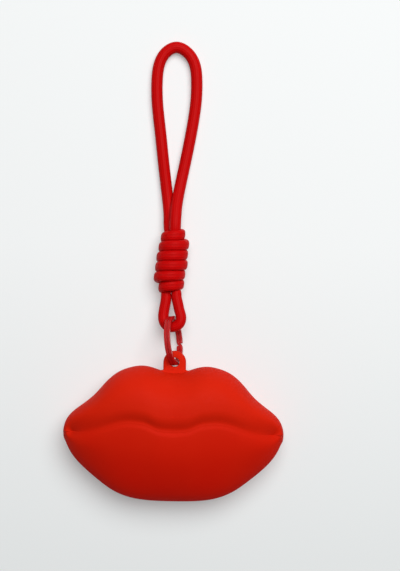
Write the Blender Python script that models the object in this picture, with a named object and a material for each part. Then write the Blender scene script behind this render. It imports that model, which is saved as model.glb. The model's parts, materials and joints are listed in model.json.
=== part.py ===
"""A lip-shaped silicone coin purse that closes with a zip under its lower lip, hung by a split ring
on a cord wrist strap.

The purse lies on its flat back, as on a table. +Z is up, out of the front of the lips, +Y runs from
the lower lip towards the strap, and the origin is the middle of the flat back. All lengths are in
metres.
"""

import math

import bmesh
import bpy
import numpy as np
from mathutils import Matrix, Vector

MM = 0.001

# Purse body
PURSE_WIDTH = 106.6 * MM
UPPER_LIP_REACH = 32.4 * MM  # from the origin to the top of the upper lip's peaks
LOWER_LIP_REACH = 33.4 * MM  # from the origin to the bottom of the lower lip
UPPER_CREST_HEIGHT = 34.0 * MM
LOWER_CREST_HEIGHT = 32.2 * MM
RIM_HEIGHT = 13.0 * MM  # the height at which the outline is widest
CORNER_RISE = 5.2 * MM  # from the rim to the crests where they run out at the mouth's corners
MOUTH_CORNER_INSET = 4.5 * MM  # from the outline's corner to the end of the mouth
MOUTH_RISE = 6.4 * MM  # how far the bows of the mouth line lie above the origin
VALLEY_DEPTH = 2.8 * MM  # from the upper crest down to the crease of the mouth
VALLEY_END_DEPTH = 0.8 * MM  # the same at the mouth's corners
UPPER_CREST_INSET = 6.0 * MM  # from the mouth line to the upper lip's crest
LOWER_CREST_INSET = 4.0 * MM  # the same on the lower lip
CORNER_HEIGHT = RIM_HEIGHT + CORNER_RISE
MOUTH_WIDTH = PURSE_WIDTH - 2 * MOUTH_CORNER_INSET
VALLEY_HEIGHT = UPPER_CREST_HEIGHT - VALLEY_DEPTH
BACK_SPINE_OFFSET = 1.0 * MM  # the line that the flat back's edge draws in towards
BACK_SPINE_SHARE = 0.68  # that line's length
BACK_EDGE_SHARE = 0.29  # how far the edge draws in
WALL = 2.0 * MM
VALLEY_WALL_SHARE = 2.0  # the wall straight under the mouth's crease, as a share of the wall
CUT_GAP = 0.3 * MM  # between pieces that touch
OVERRUN = 5.0 * MM  # how far a cutter passes what it cuts

# Right half of the outline, from the dip at the top round the corner to the bottom: across as shares
# of half the width, then up or down as shares of the upper or the lower reach.
OUTLINE_SHARES = [
    (0.0, 0.905), (0.113, 0.930), (0.208, 0.980), (0.30, 1.0), (0.392, 0.977), (0.495, 0.914),
    (0.628, 0.735), (0.724, 0.556), (0.857, 0.377), (0.957, 0.225), (1.0, 0.020), (0.982, -0.160),
    (0.923, -0.338), (0.818, -0.520), (0.685, -0.698), (0.541, -0.860), (0.358, -0.966),
    (0.17, -0.996), (0.0, -1.0),
]
# Right half of the mouth line: shares of half the mouth's width and of its rise.
MOUTH_SHARES = [
    (0.0, 0.39), (0.08, 0.42), (0.15, 0.50), (0.21, 0.69), (0.27, 0.88), (0.33, 0.96),
    (0.412, 1.0), (0.51, 0.95), (0.63, 0.79), (0.75, 0.52), (0.87, 0.32), (1.0, 0.20),
]
# The dip of the upper lip's crest at the middle, its depth and its width.
CUPID_DIP_SHARE = 0.03
CUPID_WIDTH_SHARE = 0.16
# The powers of the curves by which the crests and the valley run out towards the corners, by which
# each lip rises to its crest, where 2 is round and 1 is straight, and by which it rolls into the mouth.
CREST_FALL_POWERS = (2.4, 0.62)
VALLEY_FALL_POWER = 2.2
RISE_POWERS = {"upper": 1.8, "lower": 1.55}
ROLL_POWERS = {"upper": 2.2, "lower": 2.0}
ROLL_MOST_SHARE = 0.5  # the most of the way to the outline that the roll takes, at the corners

# Hang tab
TAB_WIDTH = 11.0 * MM
TAB_THICKNESS = 4.0 * MM
TAB_RISE = 0.5 * MM  # from the outline's height to the middle of the tab
TAB_HOLE_RADIUS = 2.75 * MM
TAB_HOLE_REACH = 5.1 * MM  # from the outline's dip to the hole's centre
TAB_ROOT_DEPTH = 4.5 * MM  # how far the tab runs into the lip's wall
TAB_MIDDLE = RIM_HEIGHT + TAB_RISE
TAB_HOLE_OFFSET = OUTLINE_SHARES[0][1] * UPPER_LIP_REACH + TAB_HOLE_REACH

# Zip, on one arc that follows the bottom outline from corner to corner of the mouth
ZIP_INSET = 4.5 * MM  # from the bottom of the outline to the arc
ZIP_CORNER_INSET = 5.0 * MM  # from the sides of the outline to the arc's ends
ZIP_END_DROP = 1.0 * MM  # the arc's ends, below the origin
ZIP_DROP = 1.0 * MM  # from the outline's height down to the zip
CLOSED_END_MARGIN = 2.35 * MM  # from the end of the tapes to the closed end of the coils
OPEN_END_MARGIN = 12.45 * MM  # the same at the open end, which leaves room for the pull
GROOVE_HEIGHT = 8.0 * MM
TAPE_THICKNESS = 0.7 * MM
TAPE_EDGE = 2.8 * MM  # from the middle of the zip to each tape
TAPE_WIDTH = 5.7 * MM
COIL_THICKNESS = 2.2 * MM
COIL_INNER = 0.65 * MM
COIL_OUTER = 2.5 * MM
STOP_LENGTH = 1.3 * MM
STOP_THICKNESS = 3.6 * MM
ZIP_HALF_CHORD = PURSE_WIDTH / 2 - ZIP_CORNER_INSET
ZIP_SAG = LOWER_LIP_REACH - ZIP_INSET - ZIP_END_DROP
ZIP_RADIUS = (ZIP_HALF_CHORD**2 + ZIP_SAG**2) / (2 * ZIP_SAG)
ZIP_CENTRE_OFFSET = ZIP_RADIUS - ZIP_SAG - ZIP_END_DROP
ZIP_HEIGHT = RIM_HEIGHT - ZIP_DROP
ZIP_HALF_ANGLE = math.asin(ZIP_HALF_CHORD / ZIP_RADIUS)
ZIP_CLOSED_ANGLE = ZIP_HALF_ANGLE - CLOSED_END_MARGIN / ZIP_RADIUS
ZIP_OPEN_ANGLE = OPEN_END_MARGIN / ZIP_RADIUS - ZIP_HALF_ANGLE

# Slider and pull
SLIDER_LENGTH = 8.0 * MM
SLIDER_END_CLEARANCE = 0.6 * MM  # from the closed end of the coils to the slider
SLIDER_ANGLE = ZIP_CLOSED_ANGLE - (SLIDER_LENGTH / 2 + SLIDER_END_CLEARANCE) / ZIP_RADIUS
SLIDER_WIDTH = 6.6 * MM
SLIDER_PLATE = 0.8 * MM
SLIDER_POST_LENGTH = 2.4 * MM
SLIDER_POST_WIDTH = 0.7 * MM
BRIDGE_LENGTH = 4.8 * MM
BRIDGE_WIDTH = 1.2 * MM
BRIDGE_OPENING = 1.6 * MM
BRIDGE_WALL = 0.6 * MM
PULL_LENGTH = 12.0 * MM
PULL_WIDTH = 4.4 * MM
PULL_THICKNESS = 0.7 * MM
PULL_BAR = 0.8 * MM
PULL_WINDOW_LENGTH = 2.8 * MM
PULL_WINDOW_WIDTH = 2.4 * MM
PULL_NOSE_SHARE = 0.35  # the cut corners of its tip
PULL_LEAN = math.radians(3.0)

# Split ring
RING_DIAMETER = 23.0 * MM
RING_RADIAL = 1.7 * MM
RING_WIRE = 1.4 * MM  # thickness of the wire along the ring's own axis
RING_TURN_GAP = 0.2 * MM
RING_TILT = math.radians(14.0)  # how far its upper half leans towards -X
RING_YAW = math.radians(6.7)  # how far its far end turns towards -X
RING_SEAT = 0.3 * MM  # from the middle of the tab's hole to the middle of the wire in it
RING_EDGE_SHARE = 0.25  # the wire's cut edges
RING_TURNS = 1.97
RING_JOG_SHARE = 0.045  # the stretch of a turn over which the wire steps to the other side
RING_END_TURN_SHARE = 0.80  # where the ends of the wire lie, as a share of a turn from the tab

# Cord strap. The eye's points are across and along from the ring's wire, in the eye's own plane. The
# long loop's points are from the middle of the knot's last turn, at their height above the table.
CORD_DIAMETER = 5.3 * MM
EYE_CORD_DIAMETER = 4.9 * MM  # the same cord, drawn tight round the ring
LOOP_STEP = 7.5 * MM
EYE_STEP = 2.5 * MM
EYE_DROP = math.radians(8.6)  # how far below the ring's far end the eye sits on its wire
EYE_ROUTE_MM = [
    (-1.95, 11.9), (-2.15, 9.9), (-2.85, 7.2), (-4.1, 3.0), (-4.3, -1.2), (-2.8, -3.6), (0.0, -4.45),
    (2.8, -3.6), (4.3, -1.2), (3.95, 3.0), (3.45, 7.2), (3.15, 9.9), (3.3, 11.9),
]
KNOT_REACH = 14.3 * MM  # from the ring's wire to the middle of the knot's first turn
KNOT_SHIFT = -1.75 * MM
KNOT_LIFT = 0.2 * MM  # the knot's clearance above the table
KNOT_LEAN = math.radians(4.4)  # how far the knot's axis turns towards +X
KNOT_CORD_DIAMETER = 4.3 * MM
KNOT_TURN_GAP = 0.6 * MM
KNOT_TURNS = 5.5
KNOT_RADIUS = 5.45 * MM  # from the knot's axis to the middle of the cord, at the fullest turn
KNOT_RADIUS_SHARES = [0.83, 0.97, 1.0, 0.99, 0.945, 0.90, 0.62]
CORE_RADIUS = 1.8 * MM
CORE_TIP_RADIUS = 0.6 * MM
CORE_TAPER_SHARE = 0.86
LOOP_ROUTE_MM = [
    (-2.7, 2.6, 5.0), (-2.9, 7.9, 4.4), (-3.9, 17.6, 3.1), (-6.5, 37.0, 2.85), (-8.3, 51.6, 2.8),
    (-10.0, 66.1, 2.8), (-10.2, 75.8, 2.8), (-8.6, 85.3, 2.8), (-5.9, 89.4, 2.8), (-1.0, 91.8, 2.8),
    (4.4, 89.4, 2.8), (7.5, 85.2, 2.8), (9.3, 75.8, 2.8), (9.2, 66.1, 2.8), (7.4, 51.6, 2.8),
    (4.8, 37.0, 3.0), (2.0, 22.4, 4.4), (0.6, 12.7, 7.6), (0.2, 2.6, 9.8),
]

# Mesh fineness: columns across the lips, then rings up to the crest, down into the mouth and
# round the back's edge.
OUTER_MESH = (44, 7, 5, 4)
INNER_MESH = (26, 5, 3, 3)
MOUTH_LINE_STEPS = 200
OUTLINE_PROBE = 0.1 * MM  # the step along the outline by which its direction is found
ZIP_STEP = math.radians(4.0)
ROOM_SIDES = 90
TAB_SIDES = 32
RING_STEPS_A_TURN = 36
KNOT_POINTS_A_TURN = 24
CORE_SIDES = 12
SMOOTH_ANGLE = math.radians(35.0)

RED_SILICONE = (0.62, 0.035, 0.012)
RED_CORD = (0.42, 0.008, 0.006)
RED_LACQUER = (0.50, 0.03, 0.03)
RED_ZIP = (0.45, 0.015, 0.010)


def clear_scene():
    for thing in list(bpy.data.objects):
        bpy.data.objects.remove(thing)


def material(name, colour, roughness, metallic=0.0):
    made = bpy.data.materials.new(name)
    made.use_nodes = True
    shader = made.node_tree.nodes["Principled BSDF"]
    shader.inputs["Base Color"].default_value = (*colour, 1.0)
    shader.inputs["Roughness"].default_value = roughness
    shader.inputs["Metallic"].default_value = metallic
    return made


def joint_empty(name, place, parent=None):
    """An empty on a joint's axis, which carries the pieces that the joint moves."""
    empty = bpy.data.objects.new(name, None)
    bpy.context.collection.objects.link(empty)
    empty.parent = parent
    empty.location = Vector(place) - (world_place(parent) if parent else Vector())
    return empty


def world_place(thing):
    """Where an empty stands: they are only ever moved, never turned."""
    place = Vector(thing.location)
    return place + world_place(thing.parent) if thing.parent else place


def add_piece(name, mesh, finish, carrier=None):
    """Shows a mesh made in world coordinates, carried by an empty if it moves."""
    if carrier:
        mesh.transform(Matrix.Translation(-world_place(carrier)))
    mesh.name = name
    piece = bpy.data.objects.new(name, mesh)
    bpy.context.collection.objects.link(piece)
    piece.parent = carrier
    mesh.materials.clear()
    mesh.materials.append(finish)
    mesh.shade_smooth()
    mesh.set_sharp_from_angle(angle=SMOOTH_ANGLE)
    return piece


def mesh_of(points, faces):
    """A closed mesh with its faces pointing out."""
    build = bmesh.new()
    corners = [build.verts.new(p) for p in points]
    for face in faces:
        build.faces.new([corners[i] for i in face])
    bmesh.ops.recalc_face_normals(build, faces=build.faces)
    mesh = bpy.data.meshes.new("solid")
    build.to_mesh(mesh)
    build.free()
    return mesh


def combine(first, operation, second):
    """The first solid with the second cut from it, joined to it, or kept only where they meet."""
    pair = [bpy.data.objects.new("step", mesh) for mesh in (first, second)]
    for step in pair:
        bpy.context.collection.objects.link(step)
    cut = pair[0].modifiers.new("combine", "BOOLEAN")
    cut.operation = operation
    cut.solver = "EXACT"
    cut.object = pair[1]
    bpy.context.view_layer.update()
    evaluated = pair[0].evaluated_get(bpy.context.evaluated_depsgraph_get())
    result = bpy.data.meshes.new_from_object(evaluated)
    for step in pair:
        bpy.data.objects.remove(step)
    return result


def spline(points, closed=False):
    """A smooth curve through the points: a function from a distance along their polyline to a place,
    and each point's own distance."""
    points = np.array(points, float)
    ends = np.vstack([points, points[:1]]) if closed else points
    steps = np.linalg.norm(np.diff(ends, axis=0), axis=1)
    along = np.concatenate([[0.0], np.cumsum(steps)])
    count = len(ends)
    system = np.eye(count)
    slopes = np.diff(ends, axis=0) / steps[:, None]
    bends = np.zeros_like(ends)
    for i in range(1, count - 1):
        system[i, i - 1 : i + 2] = steps[i - 1], 2 * (steps[i - 1] + steps[i]), steps[i]
        bends[i] = 6 * (slopes[i] - slopes[i - 1])
    if closed:
        system[0] = 0
        system[0, [0, 1, -2]] = 2 * (steps[-1] + steps[0]), steps[0], steps[-1]
        bends[0] = 6 * (slopes[0] - slopes[-1])
        system[-1, 0] = -1
    second = np.linalg.solve(system, bends)

    def place(distance):
        d = np.atleast_1d(np.asarray(distance, float))
        i = np.clip(np.searchsorted(along, d, side="right") - 1, 0, len(steps) - 1)
        h = steps[i][:, None]
        a, b = (along[i + 1] - d)[:, None] / h, (d - along[i])[:, None] / h
        curve = ((a**3 - a) * second[i] + (b**3 - b) * second[i + 1]) * h**2 / 6
        return a * ends[i] + b * ends[i + 1] + curve

    return place, along


def outline_halves(columns, inset=0.0):
    """The upper and the lower outline, each from the left corner to the right one, drawn in by an
    inset."""
    half = PURSE_WIDTH / 2
    right = [
        (x * half, y * (UPPER_LIP_REACH if y > 0 else LOWER_LIP_REACH)) for x, y in OUTLINE_SHARES
    ]
    left = [(-x, y) for x, y in right[-2:0:-1]]
    place, along = spline(right + left, closed=True)
    whole = along[-1]
    corner = max(range(len(right)), key=lambda i: right[i][0])
    right_corner, left_corner = along[corner], whole - along[corner]

    def drawn_in(distances):
        ahead, behind = (place((distances + step) % whole) for step in (OUTLINE_PROBE, -OUTLINE_PROBE))
        run = ahead - behind
        inward = np.stack([run[:, 1], -run[:, 0]], axis=1)
        inward /= np.linalg.norm(inward, axis=1)[:, None]
        return place(distances % whole) + inward * inset

    upper = drawn_in(np.linspace(left_corner - whole, right_corner, columns + 1))
    return upper, drawn_in(np.linspace(left_corner, right_corner, columns + 1))


def mouth_line():
    """A function from x to the mouth line's y."""
    right = [(x * MOUTH_WIDTH / 2, y * MOUTH_RISE) for x, y in MOUTH_SHARES]
    left = [(-x, y) for x, y in right[:0:-1]]
    place, along = spline(left + right)
    line = place(np.linspace(0, along[-1], MOUTH_LINE_STEPS))
    return lambda x: np.interp(x, line[:, 0], line[:, 1])


def crest_height(side, share):
    """The lip's crest at a share of the way from the middle to the corner of the mouth."""
    power, root = CREST_FALL_POWERS
    if side == "lower":
        full = LOWER_CREST_HEIGHT
    else:
        dip = CUPID_DIP_SHARE * (UPPER_CREST_HEIGHT - CORNER_HEIGHT)
        full = UPPER_CREST_HEIGHT - dip * math.exp(-((share / CUPID_WIDTH_SHARE) ** 2))
    return CORNER_HEIGHT + (full - CORNER_HEIGHT) * (1 - share**power) ** root


def valley_height(share, inset):
    """The crease of the mouth, which the hollow passes at a wall of its own."""
    depth = VALLEY_END_DEPTH + (VALLEY_DEPTH - VALLEY_END_DEPTH) * (1 - share**VALLEY_FALL_POWER)
    return crest_height("upper", share) - depth - inset * VALLEY_WALL_SHARE


def column_points(edge, mouth, share, side, rings, inset):
    """One column of the lips' skin, from the flat back's edge out to the outline, up to the crest and
    down to the mouth line, whose own point is left out."""
    rise_rings, roll_rings, back_rings = rings
    spine = np.array([edge[0] * BACK_SPINE_SHARE, BACK_SPINE_OFFSET])
    column = []
    for i in range(back_rings):
        turn = math.pi / 2 * (1 - i / back_rings)
        flat = edge + (spine - edge) * BACK_EDGE_SHARE * (1 - math.cos(turn))
        column.append((*flat, RIM_HEIGHT - (RIM_HEIGHT - inset) * math.sin(turn)))
    way = mouth - edge
    crest, valley = crest_height(side, share) - inset, valley_height(share, inset)
    crest_inset = UPPER_CREST_INSET if side == "upper" else LOWER_CREST_INSET
    roll = min((crest_inset + inset) / np.linalg.norm(way), ROLL_MOST_SHARE)
    for i in range(rise_rings + 1):
        turn = math.pi / 2 * i / rise_rings
        fullness = 1 + (2 / RISE_POWERS[side] - 1) * math.sin(turn)
        flat = edge + way * (1 - roll) * (1 - max(math.cos(turn), 0.0) ** fullness)
        column.append((*flat, RIM_HEIGHT + (crest - RIM_HEIGHT) * math.sin(turn)))
    for i in range(1, roll_rings):
        part = i / roll_rings
        flat = edge + way * (1 - roll + roll * part)
        column.append((*flat, valley + (crest - valley) * (1 - part ** ROLL_POWERS[side])))
    return column


def mouth_points(upper, lower, inset=0.0):
    """The mouth line's point for each column of the outline, midway between its two sides, and its
    share of the way from the middle to the corner of the mouth."""
    shares = np.clip((upper[:, 0] + lower[:, 0]) / (PURSE_WIDTH - 2 * inset), -1.0, 1.0)
    across = shares * (MOUTH_WIDTH / 2 - inset)
    return np.stack([across, mouth_line()(across)], axis=1), np.abs(shares)


def lips_solid(columns, rise_rings, roll_rings, back_rings, inset=0.0):
    """The whole pair of lips as one closed solid, drawn in all over by the inset."""
    upper, lower = outline_halves(columns, inset)
    mouth, shares = mouth_points(upper, lower, inset)
    rings = (rise_rings, roll_rings, back_rings)
    points, columns_round = [], []
    # Round the outline: along the upper lip from left to right, then back along the lower lip.
    stops = [("upper", k) for k in range(columns + 1)]
    stops += [("lower", k) for k in range(columns - 1, 0, -1)]
    for side, k in stops:
        edge = (upper if side == "upper" else lower)[k]
        column = column_points(edge, mouth[k], shares[k], side, rings, inset)
        columns_round.append(list(range(len(points), len(points) + len(column))))
        points += column
    first_mouth = len(points)
    points += [(*place, valley_height(share, inset)) for place, share in zip(mouth, shares)]
    for (_, k), column in zip(stops, columns_round):
        column.append(first_mouth + k)
    faces = [[column[0] for column in columns_round]]
    for here, there in zip(columns_round, columns_round[1:] + columns_round[:1]):
        for i in range(len(here) - 1):
            face = [here[i], there[i], there[i + 1], here[i + 1]]
            faces.append(list(dict.fromkeys(face)))
    return mesh_of(points, faces)


def prism(outline, low, high):
    """A straight prism over a flat outline."""
    count = len(outline)
    points = [(*p, low) for p in outline] + [(*p, high) for p in outline]
    faces = [list(range(count)), list(range(count, 2 * count))]
    for i in range(count):
        j = (i + 1) % count
        faces.append([i, j, count + j, count + i])
    return mesh_of(points, faces)


def disc(radius, centre, sides, low, high):
    turns = [2 * math.pi * i / sides for i in range(sides)]
    return prism(
        [(centre[0] + radius * math.cos(t), centre[1] + radius * math.sin(t)) for t in turns],
        low,
        high,
    )


def below_mouth(shift, low):
    """What lies below the mouth line, shifted, from a height up to over the lips."""
    half = PURSE_WIDTH / 2 + OVERRUN
    line = [(x, y + shift) for x, y in mouth_points(*outline_halves(OUTER_MESH[0]))[0]]
    line = [(-half, line[0][1])] + line + [(half, line[-1][1])]
    bottom = -LOWER_LIP_REACH - OVERRUN
    return prism(line + [(half, bottom), (-half, bottom)], low, UPPER_CREST_HEIGHT + OVERRUN)


def arc_bar(radial, heights, angles):
    """A bar bent along the zip's arc: its radial limits from the middle of the tapes, its height
    limits from the middle of the zip, and its two end angles."""
    steps = max(1, math.ceil(abs(angles[1] - angles[0]) / ZIP_STEP))
    points, faces = [], []
    for i in range(steps + 1):
        angle = angles[0] + (angles[1] - angles[0]) * i / steps
        for r, z in (
            (radial[0], heights[0]),
            (radial[1], heights[0]),
            (radial[1], heights[1]),
            (radial[0], heights[1]),
        ):
            points.append(zip_place(angle, r, z))
    for i in range(steps):
        for c in range(4):
            d = (c + 1) % 4
            faces.append([4 * i + c, 4 * i + d, 4 * i + 4 + d, 4 * i + 4 + c])
    faces += [[0, 1, 2, 3], [4 * steps + c for c in range(4)]]
    return mesh_of(points, faces)


def zip_place(angle, radial, height):
    reach = ZIP_RADIUS + radial
    return (
        reach * math.sin(angle),
        ZIP_CENTRE_OFFSET - reach * math.cos(angle),
        ZIP_HEIGHT + height,
    )


def make_body(silicone, hinge):
    """The moulding in two nodes: back, upper lip and tab, and the lower lip that flexes open."""
    skin = lips_solid(*OUTER_MESH)
    hollow = lips_solid(*INNER_MESH, inset=WALL)
    cavity_reach = ZIP_RADIUS + TAPE_THICKNESS / 2 + CUT_GAP
    top = UPPER_CREST_HEIGHT + OVERRUN
    room = disc(cavity_reach, (0.0, ZIP_CENTRE_OFFSET), ROOM_SIDES, -OVERRUN, top)
    hollow = combine(hollow, "INTERSECT", room)
    whole = combine(skin, "DIFFERENCE", hollow)
    groove = GROOVE_HEIGHT / 2
    lip = combine(whole.copy(), "INTERSECT", below_mouth(-CUT_GAP / 2, ZIP_HEIGHT + groove))
    shell = combine(whole, "DIFFERENCE", below_mouth(CUT_GAP / 2, ZIP_HEIGHT - groove))
    shell = combine(shell, "UNION", tab_solid())
    hole = disc(TAB_HOLE_RADIUS, (0.0, TAB_HOLE_OFFSET), TAB_SIDES, 0.0, top)
    shell = combine(shell, "DIFFERENCE", hole)
    add_piece("purse_shell", shell, silicone)
    add_piece("lower_lip", lip, silicone, hinge)


def tab_solid():
    """The hang tab: straight sides that leave the upper lip's dip and a round head."""
    half = TAB_WIDTH / 2
    turns = [math.pi * i / (TAB_SIDES // 2) for i in range(TAB_SIDES // 2 + 1)]
    head = [(half * math.cos(t), TAB_HOLE_OFFSET + half * math.sin(t)) for t in turns]
    foot = TAB_HOLE_OFFSET - TAB_HOLE_REACH - TAB_ROOT_DEPTH
    low, high = TAB_MIDDLE - TAB_THICKNESS / 2, TAB_MIDDLE + TAB_THICKNESS / 2
    return prism([(half, foot)] + head + [(-half, foot)], low, high)


def make_zip(fabric, coil, metal, hinge):
    """Tapes, coils and stops of both halves. Up is the lower lip's half, down is the back's. The
    stops stay at the ends of the tapes, where the mouth's corners hold both halves together."""
    tape = (-TAPE_THICKNESS / 2, TAPE_THICKNESS / 2)
    row = (-COIL_THICKNESS / 2, COIL_THICKNESS / 2)
    block = (-STOP_THICKNESS / 2, STOP_THICKNESS / 2)
    ends = (-ZIP_HALF_ANGLE, ZIP_HALF_ANGLE)
    closed = ZIP_CLOSED_ANGLE
    stop_gap = CUT_GAP / ZIP_RADIUS
    stop_turn = STOP_LENGTH / ZIP_RADIUS
    room = lips_solid(*INNER_MESH, inset=WALL + CUT_GAP)
    for half, way, carrier in (("back", -1, None), ("front", 1, hinge)):
        heights = sorted((way * TAPE_EDGE, way * (TAPE_EDGE + TAPE_WIDTH)))
        strip = combine(arc_bar(tape, heights, ends), "INTERSECT", room.copy())
        add_piece(f"zip_tape_{half}", strip, fabric, carrier)
        heights = sorted((way * COIL_INNER, way * COIL_OUTER))
        span = (ZIP_OPEN_ANGLE, closed)
        add_piece(f"zip_coil_{half}", arc_bar(row, heights, span), coil, carrier)
        span = (closed + stop_gap, closed + stop_gap + stop_turn)
        add_piece(f"zip_top_stop_{half}", arc_bar(block, heights, span), metal)
    span = (ZIP_OPEN_ANGLE - stop_gap - stop_turn, ZIP_OPEN_ANGLE - stop_gap)
    add_piece("zip_end_stop", arc_bar(block, (-COIL_OUTER, COIL_OUTER), span), metal)


def slider_levels():
    """How far out from the middle of the tapes the slider's plates and bridge lie."""
    plate_low = COIL_THICKNESS / 2 + CUT_GAP
    plate_high = plate_low + SLIDER_PLATE
    bridge_low = plate_high + BRIDGE_OPENING
    return plate_low, plate_high, bridge_low, bridge_low + BRIDGE_WALL


def make_slider(metal, track, pivot):
    """The slider wraps both coils, and the pull's bar turns under its bridge."""
    low, high, bridge, top = slider_levels()
    middle = SLIDER_ANGLE
    half = SLIDER_LENGTH / 2 / ZIP_RADIUS
    width = (-SLIDER_WIDTH / 2, SLIDER_WIDTH / 2)
    span = (middle - half, middle + half)
    body = arc_bar((low, high), width, span)
    body = combine(body, "UNION", arc_bar((-high, -low), width, span))
    # The post joins the plates between the coils, at the end where the coils part.
    post_end = middle + half - CUT_GAP / ZIP_RADIUS
    post = (post_end - SLIDER_POST_LENGTH / ZIP_RADIUS, post_end)
    thick = (-SLIDER_POST_WIDTH / 2, SLIDER_POST_WIDTH / 2)
    inside = high - SLIDER_PLATE / 2
    body = combine(body, "UNION", arc_bar((-inside, inside), thick, post))
    reach = BRIDGE_LENGTH / 2 / ZIP_RADIUS
    wall = BRIDGE_WALL / ZIP_RADIUS
    narrow = (-BRIDGE_WIDTH / 2, BRIDGE_WIDTH / 2)
    foot = (inside + high) / 2
    arch = arc_bar((foot, top), narrow, (middle - reach, middle + reach))
    opening = (middle - reach + wall, middle + reach - wall)
    window = arc_bar((low, bridge), (-BRIDGE_WIDTH, BRIDGE_WIDTH), opening)
    body = combine(body, "UNION", combine(arch, "DIFFERENCE", window))
    add_piece("zip_slider", body, metal, track)
    add_piece("zip_pull", pull_solid((high + bridge) / 2), metal, pivot)


def pull_solid(level):
    """A flat pull with a window, whose end bar lies under the slider's bridge."""
    half = PULL_WIDTH / 2
    back = -PULL_BAR / 2
    nose = PULL_NOSE_SHARE * PULL_WIDTH
    tip = back + PULL_LENGTH
    outline = [(back, -half), (back, half), (tip - nose, half), (tip, half - nose)]
    outline += [(tip, nose - half), (tip - nose, -half)]
    plate = prism(outline, -PULL_THICKNESS / 2, PULL_THICKNESS / 2)
    near, side = PULL_BAR / 2, PULL_WINDOW_WIDTH / 2
    far = near + PULL_WINDOW_LENGTH
    window = prism(
        [(near, -side), (near, side), (far, side), (far, -side)], -PULL_THICKNESS, PULL_THICKNESS
    )
    plate = combine(plate, "DIFFERENCE", window)
    # The plate's own x runs back along the arc, its y down, and its z out of the purse.
    turn = SLIDER_ANGLE
    outward = Vector((math.sin(turn), -math.cos(turn), 0.0))
    along = Vector((-math.cos(turn), -math.sin(turn), 0.0))
    lean = Matrix.Rotation(-PULL_LEAN, 3, "Z")
    frame = Matrix((lean @ along, Vector((0.0, 0.0, -1.0)), lean @ outward)).transposed()
    place = Vector(zip_place(turn, level, 0.0))
    plate.transform(Matrix.Translation(place) @ frame.to_4x4())
    plate.update()
    return plate


def ring_frame():
    """The ring's directions: along from the tab to its far end, up its face, and its own axis."""
    along = Vector((-math.sin(RING_YAW), math.cos(RING_YAW), 0.0))
    side = along.cross(Vector((0.0, 0.0, 1.0)))
    up = math.cos(RING_TILT) * Vector((0.0, 0.0, 1.0)) - math.sin(RING_TILT) * side
    return along, up, along.cross(up)


def ring_centre():
    """The ring stands on the table, and its wire passes through the middle of the tab's hole."""
    along, up, _ = ring_frame()
    half = RING_WIRE + RING_TURN_GAP / 2
    stand = RING_DIAMETER / 2 * math.cos(RING_TILT) + half * math.sin(RING_TILT) + CUT_GAP
    middle = (RING_DIAMETER - RING_RADIAL) / 2
    rise = (TAB_MIDDLE - stand) / up.z
    seat = Vector((0.0, TAB_HOLE_OFFSET + RING_SEAT, TAB_MIDDLE))
    return seat + along * math.sqrt(middle**2 - rise**2) - up * rise


def make_ring(lacquer, pivot):
    """A double turn of flat wire. The wire lies to one side for a turn, steps across, and lies to
    the other side for the next."""
    along, up, axis = ring_frame()
    centre = ring_centre()
    middle = (RING_DIAMETER - RING_RADIAL) / 2
    offset = (RING_WIRE + RING_TURN_GAP) / 2
    steps = math.ceil(RING_TURNS * RING_STEPS_A_TURN)
    bevel = RING_WIRE * RING_EDGE_SHARE
    r, w = RING_RADIAL / 2, RING_WIRE / 2
    section = [(-r + bevel, -w), (r - bevel, -w), (r, -w + bevel), (r, w - bevel)]
    section += [(-x, -y) for x, y in section]
    points, faces = [], []
    for i in range(steps + 1):
        turn = RING_TURNS * i / steps
        jog = (turn - RING_TURNS / 2) / RING_JOG_SHARE
        side = offset * math.tanh(jog)
        angle = 2 * math.pi * (turn + RING_END_TURN_SHARE)
        out = -math.cos(angle) * along + math.sin(angle) * up
        for x, y in section:
            points.append(centre + out * (middle + x) + axis * (side + y))
    count = len(section)
    for i in range(steps):
        for c in range(count):
            d = (c + 1) % count
            faces.append([count * i + c, count * i + d, count * (i + 1) + d, count * (i + 1) + c])
    faces += [list(range(count)), [count * steps + c for c in range(count)]]
    add_piece("split_ring", mesh_of(points, faces), lacquer, pivot)


def eye_frame():
    """Where the eye rides on the ring's wire, and the eye's directions: across, along and its axis."""
    along, up, _ = ring_frame()
    middle = (RING_DIAMETER - RING_RADIAL) / 2
    centre = ring_centre() + (math.cos(EYE_DROP) * along - math.sin(EYE_DROP) * up) * middle
    axis = math.cos(EYE_DROP) * up + math.sin(EYE_DROP) * along
    towards = knot_ends(centre)[0] - centre
    towards = (towards - axis * towards.dot(axis)).normalized()
    return centre, towards.cross(axis), towards, axis


def knot_ends(eye_centre):
    """The knot's axis: it lies on the table, and starts a named reach past the eye's centre."""
    height = KNOT_RADIUS + KNOT_CORD_DIAMETER / 2 + KNOT_LIFT
    start = Vector((eye_centre.x + KNOT_SHIFT, eye_centre.y + KNOT_REACH, height))
    length = KNOT_TURNS * (KNOT_CORD_DIAMETER + KNOT_TURN_GAP)
    return start, start + Vector((math.sin(KNOT_LEAN), math.cos(KNOT_LEAN), 0.0)) * length


def tube(name, route, diameter, finish, carrier, sides_level=3):
    """A round cord along the route, with flat ends."""
    line = bpy.data.curves.new(name, "CURVE")
    line.dimensions = "3D"
    line.bevel_depth = diameter / 2
    line.bevel_resolution = sides_level
    line.use_fill_caps = True
    run = line.splines.new("POLY")
    run.points.add(len(route) - 1)
    base = world_place(carrier)
    for point, place in zip(run.points, route):
        point.co = (*(Vector(place) - base), 1.0)
    line.materials.append(finish)
    piece = bpy.data.objects.new(name, line)
    bpy.context.collection.objects.link(piece)
    piece.parent = carrier
    return piece


def smooth_route(points, step):
    """Evenly spaced points along a smooth curve through the route's own points."""
    place, along = spline(points)
    count = math.ceil(along[-1] / step)
    return place(np.linspace(0, along[-1], count + 1))


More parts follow.
